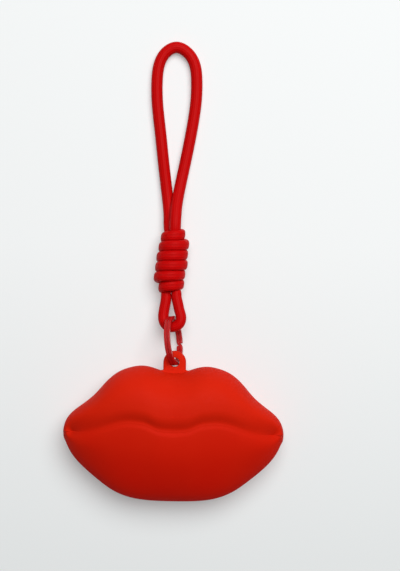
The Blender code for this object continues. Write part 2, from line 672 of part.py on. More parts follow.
def knot_route(start, end):
    """The winding's middle line: a helix round the knot's axis whose ends turn straight down."""
    axis = end - start
    unit = axis.normalized()
    down = Vector((0.0, 0.0, -1.0))
    side = unit.cross(down).normalized()
    steps = math.ceil(KNOT_TURNS * KNOT_POINTS_A_TURN)
    radii = np.array(KNOT_RADIUS_SHARES) * KNOT_RADIUS
    knots = np.linspace(0, 1, len(radii))
    radius_at, reach = spline(np.stack([knots * KNOT_TURNS * KNOT_RADIUS, radii], axis=1))
    points = []
    for i in range(steps + 1):
        share = i / steps
        angle = 2 * math.pi * KNOT_TURNS * share
        radius = float(radius_at(share * reach[-1])[0][1])
        out = side * math.cos(angle) - down * math.sin(angle)
        points.append(start + axis * share + out * radius)
    climb = axis.length / (KNOT_TURNS * 2 * math.pi * KNOT_RADIUS)
    ends = [(down + unit * way * climb) * KNOT_CORD_DIAMETER for way in (-1, 1)]
    first = [points[0] + ends[0] * part for part in (1.0, 0.5)]
    return first + points + [points[-1] + ends[1] * part for part in (0.5, 1.0)]


def least_gap(route, diameter):
    """The least clear space between stretches of a wound cord that aren't neighbours."""
    points = np.array([list(p) for p in route])
    apart = np.linalg.norm(points[:, None] - points[None], axis=2)
    steps = np.abs(np.subtract.outer(np.arange(len(points)), np.arange(len(points))))
    return apart[steps > KNOT_POINTS_A_TURN // 2].min() - diameter


def make_strap(cord, pivot):
    """One cord: a long loop, the winding that ties it, what is wound over, and the ring's eye."""
    centre, across, along, _ = eye_frame()
    start, end = knot_ends(centre)
    base = Vector((end.x, end.y, 0.0))
    loop = [base + Vector(p) * MM for p in LOOP_ROUTE_MM]
    tube("strap_loop", smooth_route(loop, LOOP_STEP), CORD_DIAMETER, cord, pivot)
    eye = [centre + across * x * MM + along * y * MM for x, y in EYE_ROUTE_MM]
    tube("strap_eye", smooth_route(eye, EYE_STEP), EYE_CORD_DIAMETER, cord, pivot)
    winding = knot_route(start, end)
    tube("strap_knot", winding, KNOT_CORD_DIAMETER, cord, pivot, sides_level=1)
    print(f"least gap in the winding: {least_gap(winding, KNOT_CORD_DIAMETER) / MM:.2f} mm")
    add_piece("strap_core", core_solid(start, end), cord, pivot)


def core_solid(start, end):
    """The plain core that the knot is wound on, drawn to a tip under its last turn."""
    axis = (end - start).normalized()
    low = start - axis * (KNOT_CORD_DIAMETER / 2)
    high = end + axis * (KNOT_CORD_DIAMETER / 2)
    rings = [
        (low, CORE_RADIUS), (low.lerp(high, CORE_TAPER_SHARE), CORE_RADIUS), (high, CORE_TIP_RADIUS)
    ]
    up = Vector((0.0, 0.0, 1.0))
    side = axis.cross(up).normalized()
    sides = CORE_SIDES
    points, faces = [], []
    for place, radius in rings:
        for i in range(sides):
            turn = 2 * math.pi * i / sides
            points.append(place + radius * (math.cos(turn) * side + math.sin(turn) * up))
    for ring in range(len(rings) - 1):
        for i in range(sides):
            j = (i + 1) % sides
            first = ring * sides
            faces.append([first + i, first + j, first + sides + j, first + sides + i])
    faces += [list(range(sides)), [(len(rings) - 1) * sides + i for i in range(sides)]]
    return mesh_of(points, faces)


def main():
    clear_scene()
    silicone = material("red_silicone", RED_SILICONE, 0.55)
    cord = material("red_cord", RED_CORD, 0.45)
    lacquer = material("red_lacquer", RED_LACQUER, 0.25, 0.4)
    fabric = material("zip_fabric", RED_ZIP, 0.8)
    coil = material("zip_coil", RED_ZIP, 0.4)

    hinge = joint_empty("lips_hinge", (0.0, 0.0, VALLEY_HEIGHT))
    track = joint_empty("slider_track", (0.0, ZIP_CENTRE_OFFSET, ZIP_HEIGHT))
    _, high, bridge, _ = slider_levels()
    pull_place = zip_place(SLIDER_ANGLE, (high + bridge) / 2, 0.0)
    pull_pivot = joint_empty("pull_pivot", pull_place, track)
    ring_pivot = joint_empty("ring_pivot", (0.0, TAB_HOLE_OFFSET, TAB_MIDDLE))
    strap_pivot = joint_empty("strap_pivot", eye_frame()[0], ring_pivot)

    make_body(silicone, hinge)
    make_zip(fabric, coil, lacquer, hinge)
    make_slider(lacquer, track, pull_pivot)
    make_ring(lacquer, ring_pivot)
    make_strap(cord, strap_pivot)


main()
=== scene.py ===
"""Dresses a silicone coin purse: a pair of moulded lips that close with a zip, hung by a split ring
on a knotted cord strap.

The purse lies on its flat back. +Z is up, +Y runs from the lower lip to the strap, and all lengths
are in metres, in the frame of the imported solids.
"""

import json
import math

import bmesh
import bpy
import numpy as np
from mathutils import Matrix, Vector
from mathutils.bvhtree import BVHTree


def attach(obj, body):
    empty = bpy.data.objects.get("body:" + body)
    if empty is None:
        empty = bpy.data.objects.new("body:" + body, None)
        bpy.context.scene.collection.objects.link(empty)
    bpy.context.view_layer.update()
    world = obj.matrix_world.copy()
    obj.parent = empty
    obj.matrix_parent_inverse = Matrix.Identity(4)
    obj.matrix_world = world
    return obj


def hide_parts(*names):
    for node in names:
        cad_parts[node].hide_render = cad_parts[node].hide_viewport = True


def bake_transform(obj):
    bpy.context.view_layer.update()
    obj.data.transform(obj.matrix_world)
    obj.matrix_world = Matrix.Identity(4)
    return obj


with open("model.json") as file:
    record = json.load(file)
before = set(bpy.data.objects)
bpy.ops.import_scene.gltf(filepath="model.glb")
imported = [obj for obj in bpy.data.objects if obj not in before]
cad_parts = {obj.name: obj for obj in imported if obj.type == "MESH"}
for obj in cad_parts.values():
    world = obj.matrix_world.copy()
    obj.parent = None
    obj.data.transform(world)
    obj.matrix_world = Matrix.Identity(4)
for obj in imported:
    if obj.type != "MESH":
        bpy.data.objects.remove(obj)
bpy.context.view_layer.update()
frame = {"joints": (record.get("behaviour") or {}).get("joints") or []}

MM = 0.001

# Purse body. It follows the solids, with a softer mouth and a lower lip that falls more evenly.
PURSE_WIDTH = 106.6 * MM
UPPER_LIP_REACH = 32.4 * MM
LOWER_LIP_REACH = 33.4 * MM
UPPER_CREST_HEIGHT = 34.0 * MM
LOWER_CREST_HEIGHT = 31.6 * MM
RIM_HEIGHT = 13.0 * MM
CORNER_HEIGHT = RIM_HEIGHT + 3.9 * MM
MOUTH_WIDTH = PURSE_WIDTH - 9.0 * MM
MOUTH_RISE = 6.4 * MM
VALLEY_DEPTH = 3.1 * MM  # from the upper crest down to the crease of the mouth
VALLEY_END_DEPTH = 0.1 * MM  # the same at the mouth's corners
VALLEY_SOFTNESS = 2.1 * MM  # the rounding at the bottom of the mouth's crease
VALLEY_SOFT_SHARE = 0.38  # the most of the roll's width that this rounding takes
CREST_INSETS = {"upper": 7.0 * MM, "lower": 2.7 * MM}  # from the mouth line to each crest
MEET_REACHES = {"upper": 4.2 * MM, "lower": 6.5 * MM}  # over which both sides come to one height
BACK_SPINE_OFFSET = 1.0 * MM
BACK_SPINE_SHARE = 0.68
BACK_EDGE_SHARE = 0.29
WALL = 2.0 * MM
OUTLINE_SHARES = [
    (0.0, 0.905), (0.113, 0.930), (0.208, 0.980), (0.30, 1.0), (0.392, 0.977), (0.495, 0.914),
    (0.628, 0.735), (0.724, 0.556), (0.857, 0.377), (0.957, 0.225), (1.0, 0.020), (0.982, -0.160),
    (0.923, -0.338), (0.818, -0.520), (0.685, -0.698), (0.541, -0.860), (0.358, -0.966),
    (0.17, -0.996), (0.0, -1.0),
]
MOUTH_SHARES = [
    (0.0, 0.39), (0.08, 0.42), (0.15, 0.50), (0.21, 0.69), (0.27, 0.88), (0.33, 0.96),
    (0.412, 1.0), (0.51, 0.91), (0.63, 0.63), (0.75, 0.33), (0.87, 0.17), (1.0, 0.13),
]
CUPID_DIP_SHARE = 0.03
CUPID_WIDTH_SHARE = 0.16
CREST_FALL_POWERS = (2.4, 0.62)
CREST_END_SHARE = 0.06  # how early the crest's fall eases off at the corners
VALLEY_FALL_POWER = 3.0
CREST_POWERS = {"upper": 0.83, "lower": 1.1}  # the section's shape at its crest: 1 is an ellipse
FOOT_POWERS = {"upper": 1.0, "lower": 1.6}  # the same at the rim
SHAPE_POWERS = {"upper": 1.0, "lower": 4.0}  # how late the one turns into the other
ROLL_POWERS = {"upper": 2.2, "lower": 2.0}
ROLL_MOST_SHARE = 0.5
OUTLINE_PROBE = 0.1 * MM
MOUTH_LINE_STEPS = 400
LIP_BEND_LENGTH = 14.0 * MM  # the length of the bend line that make_purse gives for the lower lip's skin, down from where it is fixed

# How finely the skin is meshed: columns across the lips, then rings up to the zip's groove, on to
# the crest and down into the mouth, and rows across the flat back.
COLUMNS = 176
BACK_RINGS, RISE_RINGS, ROLL_RINGS, CAP_ROWS = 10, 20, 18, 12
RISE_SPACING_POWER = 1.3
ROLL_SPACING_POWER = 1.8

# Hang tab
TAB_WIDTH = 11.0 * MM
TAB_THICKNESS = 4.0 * MM
TAB_MIDDLE = RIM_HEIGHT + 0.5 * MM
TAB_EDGE = 1.2 * MM  # the rounding of its edges
TAB_HOLE_RADIUS = 2.25 * MM
TAB_HOLE_EDGE = 0.4 * MM
TAB_HOLE_OFFSET = OUTLINE_SHARES[0][1] * UPPER_LIP_REACH + 5.1 * MM
TAB_ROOT_OFFSET = 30.9 * MM  # where the fillet at its root ends
TAB_COLUMNS = 9  # columns of the skin on each side that its root takes
TAB_RINGS = (BACK_RINGS - 2, BACK_RINGS + 4)
TAB_FILLET_STEPS = 5
TAB_SIDE_STEPS, TAB_HEAD_STEPS = 4, 16
TAB_HOLE_STEPS = 3

# Zip, on an arc round the lower lip
ZIP_INSET = 4.5 * MM  # from the bottom of the outline to the arc
ZIP_CORNER_INSET = 5.0 * MM  # from the sides of the outline to the arc's ends
ZIP_END_DROP = 1.0 * MM  # the arc's ends, below the origin
ZIP_HALF_CHORD = PURSE_WIDTH / 2 - ZIP_CORNER_INSET
ZIP_SAG = LOWER_LIP_REACH - ZIP_INSET - ZIP_END_DROP
ZIP_RADIUS = (ZIP_HALF_CHORD**2 + ZIP_SAG**2) / (2 * ZIP_SAG)
SLIDER_TRACK = next(joint for joint in frame["joints"] if joint["name"] == "slider_travel")
_, ZIP_CENTRE_OFFSET, ZIP_HEIGHT = SLIDER_TRACK["pos_m"]
ZIP_END_ANGLE = math.asin(ZIP_HALF_CHORD / ZIP_RADIUS)
CAVITY_REACH = ZIP_RADIUS + 0.65 * MM  # to the hollow's wall, which the tapes are bonded to
GROOVE_HALF_HEIGHT = 4.0 * MM
GROOVE_END_MARGIN = 3.0 * MM  # from the corner of the outline to the groove's end
GROOVE_END_LENGTH = 4.0 * MM  # over which its end is rounded
GROOVE_EDGE = 0.4 * MM  # the rounding of its edges
STOP_GAP = 0.3 * MM
STOP_LENGTH = 1.3 * MM
STOP_HALF_THICKNESS = 1.8 * MM
STOP_EDGE = 0.3 * MM
STOP_STEPS = 6

# Zip coils
OPEN_END_MARGIN = 12.45 * MM  # from the tapes' end to the coils' at the end stop
CLOSED_END_MARGIN = 2.35 * MM  # the same at the top stops
COIL_START = OPEN_END_MARGIN / ZIP_RADIUS - ZIP_END_ANGLE
COIL_END = ZIP_END_ANGLE - CLOSED_END_MARGIN / ZIP_RADIUS
COIL_WIRE = 0.25 * MM  # its radius
COIL_LOOPS, COIL_STEPS_A_LOOP, COIL_SIDES = 77, 12, 6
COIL_REACH = (-0.12 * MM, 2.5 * MM)  # from the middle of the zip
COIL_BAND = (0.65 * MM, 2.5 * MM)  # where the stops clamp each coil
COIL_HALF_THICKNESS = 1.1 * MM
COIL_PART = 0.55 * MM  # how far each coil draws back past the slider
COIL_PART_ANGLE = math.radians(2.5)  # over which it does so

# Zip tapes
TAPE_EDGE = 2.8 * MM  # from the middle of the zip
TAPE_WIDTH = 5.7 * MM
TAPE_THICKNESS = 0.55 * MM
TAPE_THINNING, TAPE_THINNING_POWER = 0.35, 8  # towards its edges
TAPE_MARGIN = 0.45 * MM  # between a tape's edge and the hollow's roof or floor
TAPE_COLUMNS, TAPE_ROWS = 150, 8
TAPE_CLOSING_LENGTH = 3.5 * MM  # over which the tapes come together past the end stop
TAPE_CLOSED_EDGE = 0.25 * MM
STITCH_STEP = 1.9 * MM
STITCH_SHARE = 0.8  # of a step that a stitch is long
STITCH_RADIUS = 0.13 * MM
STITCH_RISE = 0.8  # how far its middle stands out and its ends sink in, in radii
STITCH_HEIGHT = 3.15 * MM  # from the middle of the zip
STITCH_POINTS, STITCH_SIDES = 6, 6

# Zip slider and its pull. The outlines are in millimetres. All but the pull's own are of one side.
SLIDER_ANGLE = COIL_END - 4.6 * MM / ZIP_RADIUS
PLATE_OUTLINE = [(-4.0, -2.31), (-1.4, -2.838), (1.8, -3.3), (4.0, -2.772), (4.0, -0.99), (2.88, 0.0)]
PLATE_CORNER, PLATE_EDGE = 0.9 * MM, 0.18 * MM
PLATE_LEVELS = (1.4 * MM, 2.2 * MM)
POST_OUTLINE = [(1.6, -0.2), (3.8, -0.35)]
POST_CORNER = 0.15 * MM
FLANGE_OUTLINE = [(-2.2, 2.64), (2.0, 3.069), (2.0, 2.64), (-2.2, 2.211)]
FLANGE_EDGE = 0.12 * MM
FLANGE_LEVELS = (0.62 * MM, 1.7 * MM)
BRIDGE_HALF_LENGTH = 2.4 * MM
BRIDGE_HALF_WIDTH = 0.62 * MM
BRIDGE_TOP = 4.4 * MM
BRIDGE_WALL = 0.62 * MM
BRIDGE_LEAN = 0.97  # the length of its top, as a share of its foot's
BRIDGE_CORNERS = (1.1 * MM, 0.6 * MM)  # outside and inside
BRIDGE_STEPS = 6
BRIDGE_EDGE = 0.14 * MM
PULL_OUTLINE = [
    (-0.4, -2.2), (-0.4, 2.2), (5.0, 1.848), (9.0, 2.2), (11.6, 1.21), (11.6, -1.21), (9.0, -2.2),
    (5.0, -1.848),
]
PULL_WINDOW = [(0.4, -1.2), (3.2, -1.2)]
PULL_GRIP = [(5.2, -1.1), (9.3, -1.364), (10.4, 0.0)]
PULL_CORNERS = (0.8 * MM, 0.5 * MM, 0.6 * MM)  # of its outline, its window and its grip
PULL_EDGE = 0.1 * MM
PULL_HALF_THICKNESS = 0.35 * MM
PULL_SUNK_SHARE = 0.6  # the level of the sunk grip, as a share of that
PULL_LEAN = math.radians(3.0)
PULL_LEVEL = 3.0 * MM  # the bar's middle, out from the middle of the tapes

# Split ring
RING_DIAMETER = 23.0 * MM
RING_RADIAL = 1.7 * MM
RING_WIRE = 1.4 * MM
RING_TURN_GAP = 0.2 * MM
RING_TILT = math.radians(14.0)
RING_YAW = math.radians(6.7)
RING_SEAT = 0.3 * MM
RING_EDGE = 0.28 * MM
RING_TURNS = 1.98
RING_JOG_SHARE = 0.011
RING_END_TURN_SHARE = 0.80
RING_STEPS_A_TURN = 240
RING_STRETCH = 1.0 * MM  # how much wider it is than its solid, all towards the tab
RING_LIFT = 0.3 * MM
RING_SEAM = 0.08 * MM  # between its turns, where they lie together
STAND_GAP = 0.3 * MM
RING_MIDDLE = (RING_DIAMETER - RING_RADIAL) / 2  # the radius of its wire's middle line
RING_END_DRAWS = (0.84, 0.95)  # the size of its last two sections at each end

# Cord strap. A route starts and ends where the cord's ends are pressed together inside the knot.
EYE_DROP = math.radians(8.6)
EYE_ROUTE_MM = [
    (-1.9, 15.6), (-1.95, 11.9), (-2.15, 9.9), (-2.85, 7.2), (-4.1, 3.0), (-4.3, -1.2),
    (-2.8, -3.6), (0.0, -4.45), (2.8, -3.6), (4.3, -1.2), (3.95, 3.0), (3.45, 7.2), (3.15, 9.9),
    (3.3, 11.9), (2.5, 15.6),
]
LOOP_ROUTE_MM = [
    (-1.7, -2.2, 6.1),
    (-2.7, 2.6, 5.0), (-2.9, 7.9, 4.4), (-3.9, 17.6, 3.1), (-6.5, 37.0, 2.85), (-8.3, 51.6, 2.8),
    (-10.0, 66.1, 2.8), (-10.2, 75.8, 2.8), (-8.6, 85.3, 2.8), (-5.9, 89.4, 2.8), (-1.0, 91.8, 2.8),
    (4.4, 89.4, 2.8), (7.5, 85.2, 2.8), (9.3, 75.8, 2.8), (9.2, 66.1, 2.8), (7.4, 51.6, 2.8),
    (4.8, 37.0, 3.0), (2.0, 22.4, 4.4), (0.6, 12.7, 7.6), (0.2, 2.6, 9.8),
    (0.1, -2.2, 9.0),
]
TUCK_SQUEEZE = 0.78  # a cord's size there, as a share of its diameter
TUCK_LENGTH = 5.0 * MM
LOOP_SECTION = (5.65 * MM, 5.1 * MM)  # across and up, flattened a little by lying
EYE_SECTION = (5.2 * MM, 4.9 * MM)
CORD_SIDES = 32
CORD_STEP = 0.6 * MM
KNOT_REACH = 14.3 * MM
KNOT_SHIFT = -1.75 * MM
KNOT_LIFT = 0.2 * MM
KNOT_LEAN = math.radians(4.4)
KNOT_CAD_CORD = 4.3 * MM
KNOT_TURN_GAP = 0.6 * MM
KNOT_TURNS = 5.5
KNOT_RADIUS = 5.45 * MM
KNOT_RADIUS_SHARES = [  # at each half turn, left and right by turns
    0.57, 0.90, 1.08, 0.87, 1.07, 1.0, 1.02, 0.95, 0.91, 0.98, 0.82, 0.54,
]
KNOT_CORD = (4.55 * MM, 5.1 * MM)  # the wound cord, pressed flat: out from the axis and along it
KNOT_SQUARENESS = 2.9  # the power of its section, where 2 is an ellipse
KNOT_TAIL_TURN_SHARE = 0.25  # how far round each end goes on as it tucks in under the winding
KNOT_TAIL_RADIUS = 2.0 * MM
KNOT_STEPS_A_TURN = 48
CORE_STRAND = (1.5 * MM, 3.0 * MM)
CORE_STEPS = 40
CORE_TAPER = 0.45  # how much it narrows at the end
CORE_TAPER_START = 0.8

# Stage
FLOOR_OWN_LIGHT = 0.32  # how much of the floor's colour the camera sees without its shadows
FLOOR_FADE = (0.25, 0.75)  # how far off it starts and ends turning into the backdrop
BACKDROP_COLOUR = (0.88, 0.90, 0.90)
FLOOR_HALF_WIDTH = 3.0
FLOOR_THICKNESS = 0.01
PHOTO_TURN = math.radians(1.1)
CAMERA_PLACE = (11.5 * MM, 71.7 * MM, 633.0 * MM)
CAMERA_LENS = 80.7
CAMERA_SENSOR = 36.0
CAMERA_CLIP = 0.01
KEY_PLACE = (0.22, 0.55, 1.12)
KEY_SIZE = 1.1
KEY_POWER = 17.2
FILL_POWER = 0.08

UP = Vector((0.0, 0.0, 1.0))
ROUNDED_MOST_SHARE = 0.48  # the most of a side that the rounding of a corner takes
ROUND_WIRE_ANGLE = 80.0  # the bend above which an edge of a thin wire is left sharp
NOISE_RANGE = (0.3, 0.7)  # what most of a noise lies between
MIX_COLOURS, MIX_RESULT = (6, 7), 2  # the numbers of a mix node's colour sockets


def spline(points, closed=False):
    """A smooth curve through the points: a function from a distance along their polyline to a place,
    and each point's own distance."""
    points = np.array(points, float)
    ends = np.vstack([points, points[:1]]) if closed else points
    steps = np.linalg.norm(np.diff(ends, axis=0), axis=1)
    along = np.concatenate([[0.0], np.cumsum(steps)])
    count = len(ends)
    system = np.eye(count)
    slopes = np.diff(ends, axis=0) / steps[:, None]
    bends = np.zeros_like(ends)
    for i in range(1, count - 1):
        system[i, i - 1 : i + 2] = steps[i - 1], 2 * (steps[i - 1] + steps[i]), steps[i]
        bends[i] = 6 * (slopes[i] - slopes[i - 1])
    if closed:
        system[0] = 0
        system[0, [0, 1, -2]] = 2 * (steps[-1] + steps[0]), steps[0], steps[-1]
        bends[0] = 6 * (slopes[0] - slopes[-1])
        system[-1, 0] = -1
    second = np.linalg.solve(system, bends)

    def place(distance):
        d = np.atleast_1d(np.asarray(distance, float))
        i = np.clip(np.searchsorted(along, d, side="right") - 1, 0, len(steps) - 1)
        h = steps[i][:, None]
        a, b = (along[i + 1] - d)[:, None] / h, (d - along[i])[:, None] / h
        curve = ((a**3 - a) * second[i] + (b**3 - b) * second[i + 1]) * h**2 / 6
        return a * ends[i] + b * ends[i + 1] + curve

    return place, along


def distances(route):
    """How far along a route each of its points is."""
    steps = np.linalg.norm(np.diff(np.asarray(route, float), axis=0), axis=1)
    return np.concatenate([[0.0], np.cumsum(steps)])


def eased(share):
    """A share from 0 to 1 that starts and ends gently."""
    share = np.clip(share, 0, 1)
    return share * share * (3 - 2 * share)


class Shell:
    """Points and faces gathered into one closed mesh."""

    def __init__(self):
        self.points, self.faces = [], []

    def add(self, points):
        """Takes an array of points and gives the array of their numbers."""
        points = np.asarray(points, float)
        first = len(self.points)
        self.points += points.reshape(-1, 3).tolist()
        return np.arange(first, len(self.points)).reshape(points.shape[:-1])

    def take(self, other):
        """Takes in the points and faces of another shell."""
        first = len(self.points)
        self.points += other.points
        self.faces += [[first + v for v in face] for face in other.faces]

    def grid(self, rows, left_out=()):
        """Faces between the rows of an array of point numbers."""
        for i in range(rows.shape[0] - 1):
            for j in range(rows.shape[1] - 1):
                if (i, j) in left_out:
                    continue
                face = [rows[i, j], rows[i + 1, j], rows[i + 1, j + 1], rows[i, j + 1]]
                face = list(dict.fromkeys(int(v) for v in face))
                if len(face) > 2:
                    self.faces.append(face)

    def tube(self, rings, capped=False):
        """Faces round a stack of closed rings, and across both its ends where it is capped."""
        rings = np.array(rings)
        self.grid(np.hstack([rings, rings[:, :1]]))
        if capped:
            self.faces += [[int(v) for v in ring] for ring in (rings[0], rings[-1])]

    def mesh(self):
        build = bmesh.new()
        corners = [build.verts.new(p) for p in self.points]
        for face in self.faces:
            build.faces.new([corners[i] for i in face])
        loose = [v for v in build.verts if not v.link_faces]
        bmesh.ops.delete(build, geom=loose, context="VERTS")
        bmesh.ops.recalc_face_normals(build, faces=build.faces)
        made = bpy.data.meshes.new("shell")
        build.to_mesh(made)
        build.free()
        return made


def add_object(name, data):
    made = bpy.data.objects.new(name, data)
    bpy.context.collection.objects.link(made)
    return made


def show(name, mesh, finish, sharp_angle=40.0):
    """A piece for a finished mesh, in the shared frame."""
    mesh.name = name
    piece = add_object(name, mesh)
    mesh.materials.clear()
    mesh.materials.append(finish)
    mesh.shade_smooth()
    mesh.set_sharp_from_angle(angle=math.radians(sharp_angle))
    return piece


# Skin of the lips


def outline_halves(inset):
    """The upper and the lower outline, each from the left corner to the right one."""
    half = PURSE_WIDTH / 2
    right = [
        (x * half, y * (UPPER_LIP_REACH if y > 0 else LOWER_LIP_REACH)) for x, y in OUTLINE_SHARES
    ]
    left = [(-x, y) for x, y in right[-2:0:-1]]
    place, along = spline(right + left, closed=True)
    whole = along[-1]
    right_corner = along[int(np.argmax([x for x, _ in right]))]
    left_corner = whole - right_corner

    def drawn_in(first, last):
        stops = np.linspace(first, last, COLUMNS + 1)
        run = place((stops + OUTLINE_PROBE) % whole) - place((stops - OUTLINE_PROBE) % whole)
        inward = np.stack([run[:, 1], -run[:, 0]], axis=1)
        inward /= np.linalg.norm(inward, axis=1)[:, None]
        return place(stops % whole) + inward * inset

    return drawn_in(left_corner - whole, right_corner), drawn_in(left_corner, right_corner)


def mouth_points(upper, lower, inset):
    """The mouth line's point for each column and its share of the way from the middle to a corner."""
    right = [(x * MOUTH_WIDTH / 2, y * MOUTH_RISE) for x, y in MOUTH_SHARES]
    left = [(-x, y) for x, y in right[:0:-1]]
    place, along = spline(left + right)
    line = place(np.linspace(0, along[-1], MOUTH_LINE_STEPS))
    shares = np.clip((upper[:, 0] + lower[:, 0]) / (PURSE_WIDTH - 2 * inset), -1.0, 1.0)
    across = shares * (MOUTH_WIDTH / 2 - inset)
    return np.stack([across, np.interp(across, line[:, 0], line[:, 1])], axis=1), np.abs(shares)


def crest_height(side, share):
    power, root = CREST_FALL_POWERS
    if side == "lower":
        full = LOWER_CREST_HEIGHT
    else:
        dip = CUPID_DIP_SHARE * (UPPER_CREST_HEIGHT - CORNER_HEIGHT)
        full = UPPER_CREST_HEIGHT - dip * math.exp(-((share / CUPID_WIDTH_SHARE) ** 2))
    left = math.hypot(1 - share**power, CREST_END_SHARE)
    return CORNER_HEIGHT + (full - CORNER_HEIGHT) * min(left, 1.0) ** root


def valley_height(share, inset):
    depth = VALLEY_END_DEPTH + (VALLEY_DEPTH - VALLEY_END_DEPTH) * (1 - share**VALLEY_FALL_POWER)
    return crest_height("upper", share) - depth - inset


def station_at(height, crest, inset):
    """Where a column passes a height: -1 is on the flat back, 0 at the rim, 1 at the crest and 2 in
    the mouth."""
    if height <= RIM_HEIGHT:
        return -math.asin((RIM_HEIGHT - height) / (RIM_HEIGHT - inset)) / (math.pi / 2)
    return math.asin((height - RIM_HEIGHT) / (crest - RIM_HEIGHT)) / (math.pi / 2)


def column_points(edge, mouth, share, side, stations, inset):
    """Points of one column of the skin at the given stations."""
    spine = np.array([edge[0] * BACK_SPINE_SHARE, BACK_SPINE_OFFSET])
    way = mouth - edge
    length = np.linalg.norm(way)
    crest, valley = crest_height(side, share) - inset, valley_height(share, inset)
    roll = min((CREST_INSETS[side] + inset) / length, ROLL_MOST_SHARE)
    turn = np.clip(stations, -1, 1) * math.pi / 2
    part = np.clip(stations - 1, 0, 1)
    back = (1 - np.cos(turn))[:, None] * (spine - edge) * BACK_EDGE_SHARE
    lifted = np.abs(np.sin(turn)) ** SHAPE_POWERS[side]
    rise = 1 - np.cos(turn) ** (FOOT_POWERS[side] + (CREST_POWERS[side] - FOOT_POWERS[side]) * lifted)
    front = ((1 - roll) * rise + roll * part)[:, None] * way
    flat = edge + np.where((stations < 0)[:, None], back, front)
    width = roll * length
    softness = min(VALLEY_SOFTNESS, VALLEY_SOFT_SHARE * width) * part
    near = np.clip(1 - np.sqrt(((1 - part) * width) ** 2 + softness**2) / width, 0, 1)
    rolled = valley + (crest - valley) * (1 - near ** ROLL_POWERS[side])
    foot = RIM_HEIGHT - inset
    height = RIM_HEIGHT + np.where(stations < 0, foot, crest - RIM_HEIGHT) * np.sin(turn)
    return np.column_stack([flat, np.where(stations > 1, rolled, height)])


def groove_half_heights():
    """Half the height of the zip's groove for each column of the lower outline: nothing at the
    corners, then a rounded end, then its full height."""
    along = distances(outline_halves(0.0)[1])
    from_corner = np.minimum(along, along[-1] - along) - GROOVE_END_MARGIN
    short = np.clip(1 - from_corner / GROOVE_END_LENGTH, 0, 1)
    return GROOVE_HALF_HEIGHT * np.sqrt(1 - short**2) * (from_corner > 0)


def skin(inset):
    """The lips' skin at an inset: the upper side, the lower side below the groove and the lower lip
    above it, each an array of columns by rings."""
    upper, lower = outline_halves(inset)
    mouth, shares = mouth_points(upper, lower, inset)
    half_heights = groove_half_heights()
    rise = np.linspace(0, 1, RISE_RINGS + 1) ** RISE_SPACING_POWER
    roll = 2 - np.linspace(1, 0, ROLL_RINGS + 1)[1:] ** ROLL_SPACING_POWER
    sides = {"upper": [], "back": [], "lip": []}
    for k in range(COLUMNS + 1):
        edge_round = GROOVE_EDGE * min(1.0, half_heights[k] / (2 * GROOVE_EDGE))
        for side, edge in (("upper", upper[k]), ("lower", lower[k])):
            form = "upper" if k in (0, COLUMNS) else side
            crest = crest_height(form, shares[k]) - inset
            open_by = 0.0 if side == "upper" else half_heights[k] + edge_round
            low = station_at(ZIP_HEIGHT - open_by, crest, inset)
            high = station_at(ZIP_HEIGHT + open_by, crest, inset)
            below = np.linspace(-1, low, BACK_RINGS + 1)
            above = np.concatenate([high + (1 - high) * rise, roll])
            parts = {"back": below, "lip": above}
            if side == "upper":
                parts = {"upper": np.concatenate([below, above[1:]])}
            for part, stations in parts.items():
                points = column_points(edge, mouth[k], shares[k], form, stations, inset)
                sides[part].append(points)
    sides = {name: np.array(columns) for name, columns in sides.items()}
    meet_in_mouth(sides["upper"], sides["lip"])
    if inset:
        for points in sides.values():
            keep_in_cavity(points)
    return sides


def meet_in_mouth(upper, lip):
    """Brings both sides to one height along the mouth line, with a soft bottom."""
    middle = (upper[:, -1, 2] + lip[:, -1, 2]) / 2
    for side, reach in ((upper, MEET_REACHES["upper"]), (lip, MEET_REACHES["lower"])):
        front = side[:, -RISE_RINGS - ROLL_RINGS :]
        away = np.linalg.norm(front[:, :, :2] - front[:, -1:, :2], axis=2)
        front[..., 2] += (middle - side[:, -1, 2])[:, None] * np.exp(-((away / reach) ** 2))


def keep_in_cavity(points):
    """Draws the hollow in to the round wall that the zip's tapes are bonded to."""
    off = points[..., :2] - np.array([0.0, ZIP_CENTRE_OFFSET])
    reach = np.linalg.norm(off, axis=-1, keepdims=True)
    points[..., :2] += off / np.maximum(reach, MM) * (np.minimum(reach, CAVITY_REACH) - reach)


def border(front, groove):
    """The loop along the mouth line, down the right corner, along the groove and up the left one."""
    mouth, right, left = front[:, -1], front[-1, -2::-1], front[0, :-1]
    return list(mouth) + list(right) + list(groove[-2:0:-1]) + list(left)


def close_wall(shell, outer, inner, half_heights, way):
    """Joins the two skins along their border, with rounded edges at the groove. Way is 1 for the
    back, whose groove is above it, and -1 for the lip."""
    points = np.array(shell.points)
    first, last = points[outer], points[inner]
    wall = last - first
    wall /= np.maximum(np.linalg.norm(wall, axis=1), MM / 100)[:, None]
    lift = np.zeros(len(outer))
    start = COLUMNS + 1 + RISE_RINGS + ROLL_RINGS
    heights = half_heights[-2:0:-1]
    lift[start : start + len(heights)] = way * np.minimum(GROOVE_EDGE, heights / 2)
    rows = [outer]
    turns = [math.pi / 6, math.pi / 3, math.pi / 2]
    for base, sign, order in ((first, 1, turns), (last, -1, turns[::-1])):
        for turn in order:
            step = base + sign * wall * GROOVE_EDGE * (1 - math.cos(turn))
            step = step + np.outer(lift * math.sin(turn), [0, 0, 1])
            rows.append(shell.add(step))
    rows.append(inner)
    shell.tube(rows)


def cap_back(shell, upper, lower):
    """The flat back, in rows from the upper edge to the lower one."""
    points = np.array(shell.points)
    rows = [upper]
    for i in range(1, CAP_ROWS):
        way = i / CAP_ROWS
        row = points[upper] + (points[lower] - points[upper]) * way
        ids = shell.add(row)
        ids[0], ids[-1] = upper[0], upper[-1]
        rows.append(ids)
    rows.append(lower)
    shell.grid(np.array(rows))


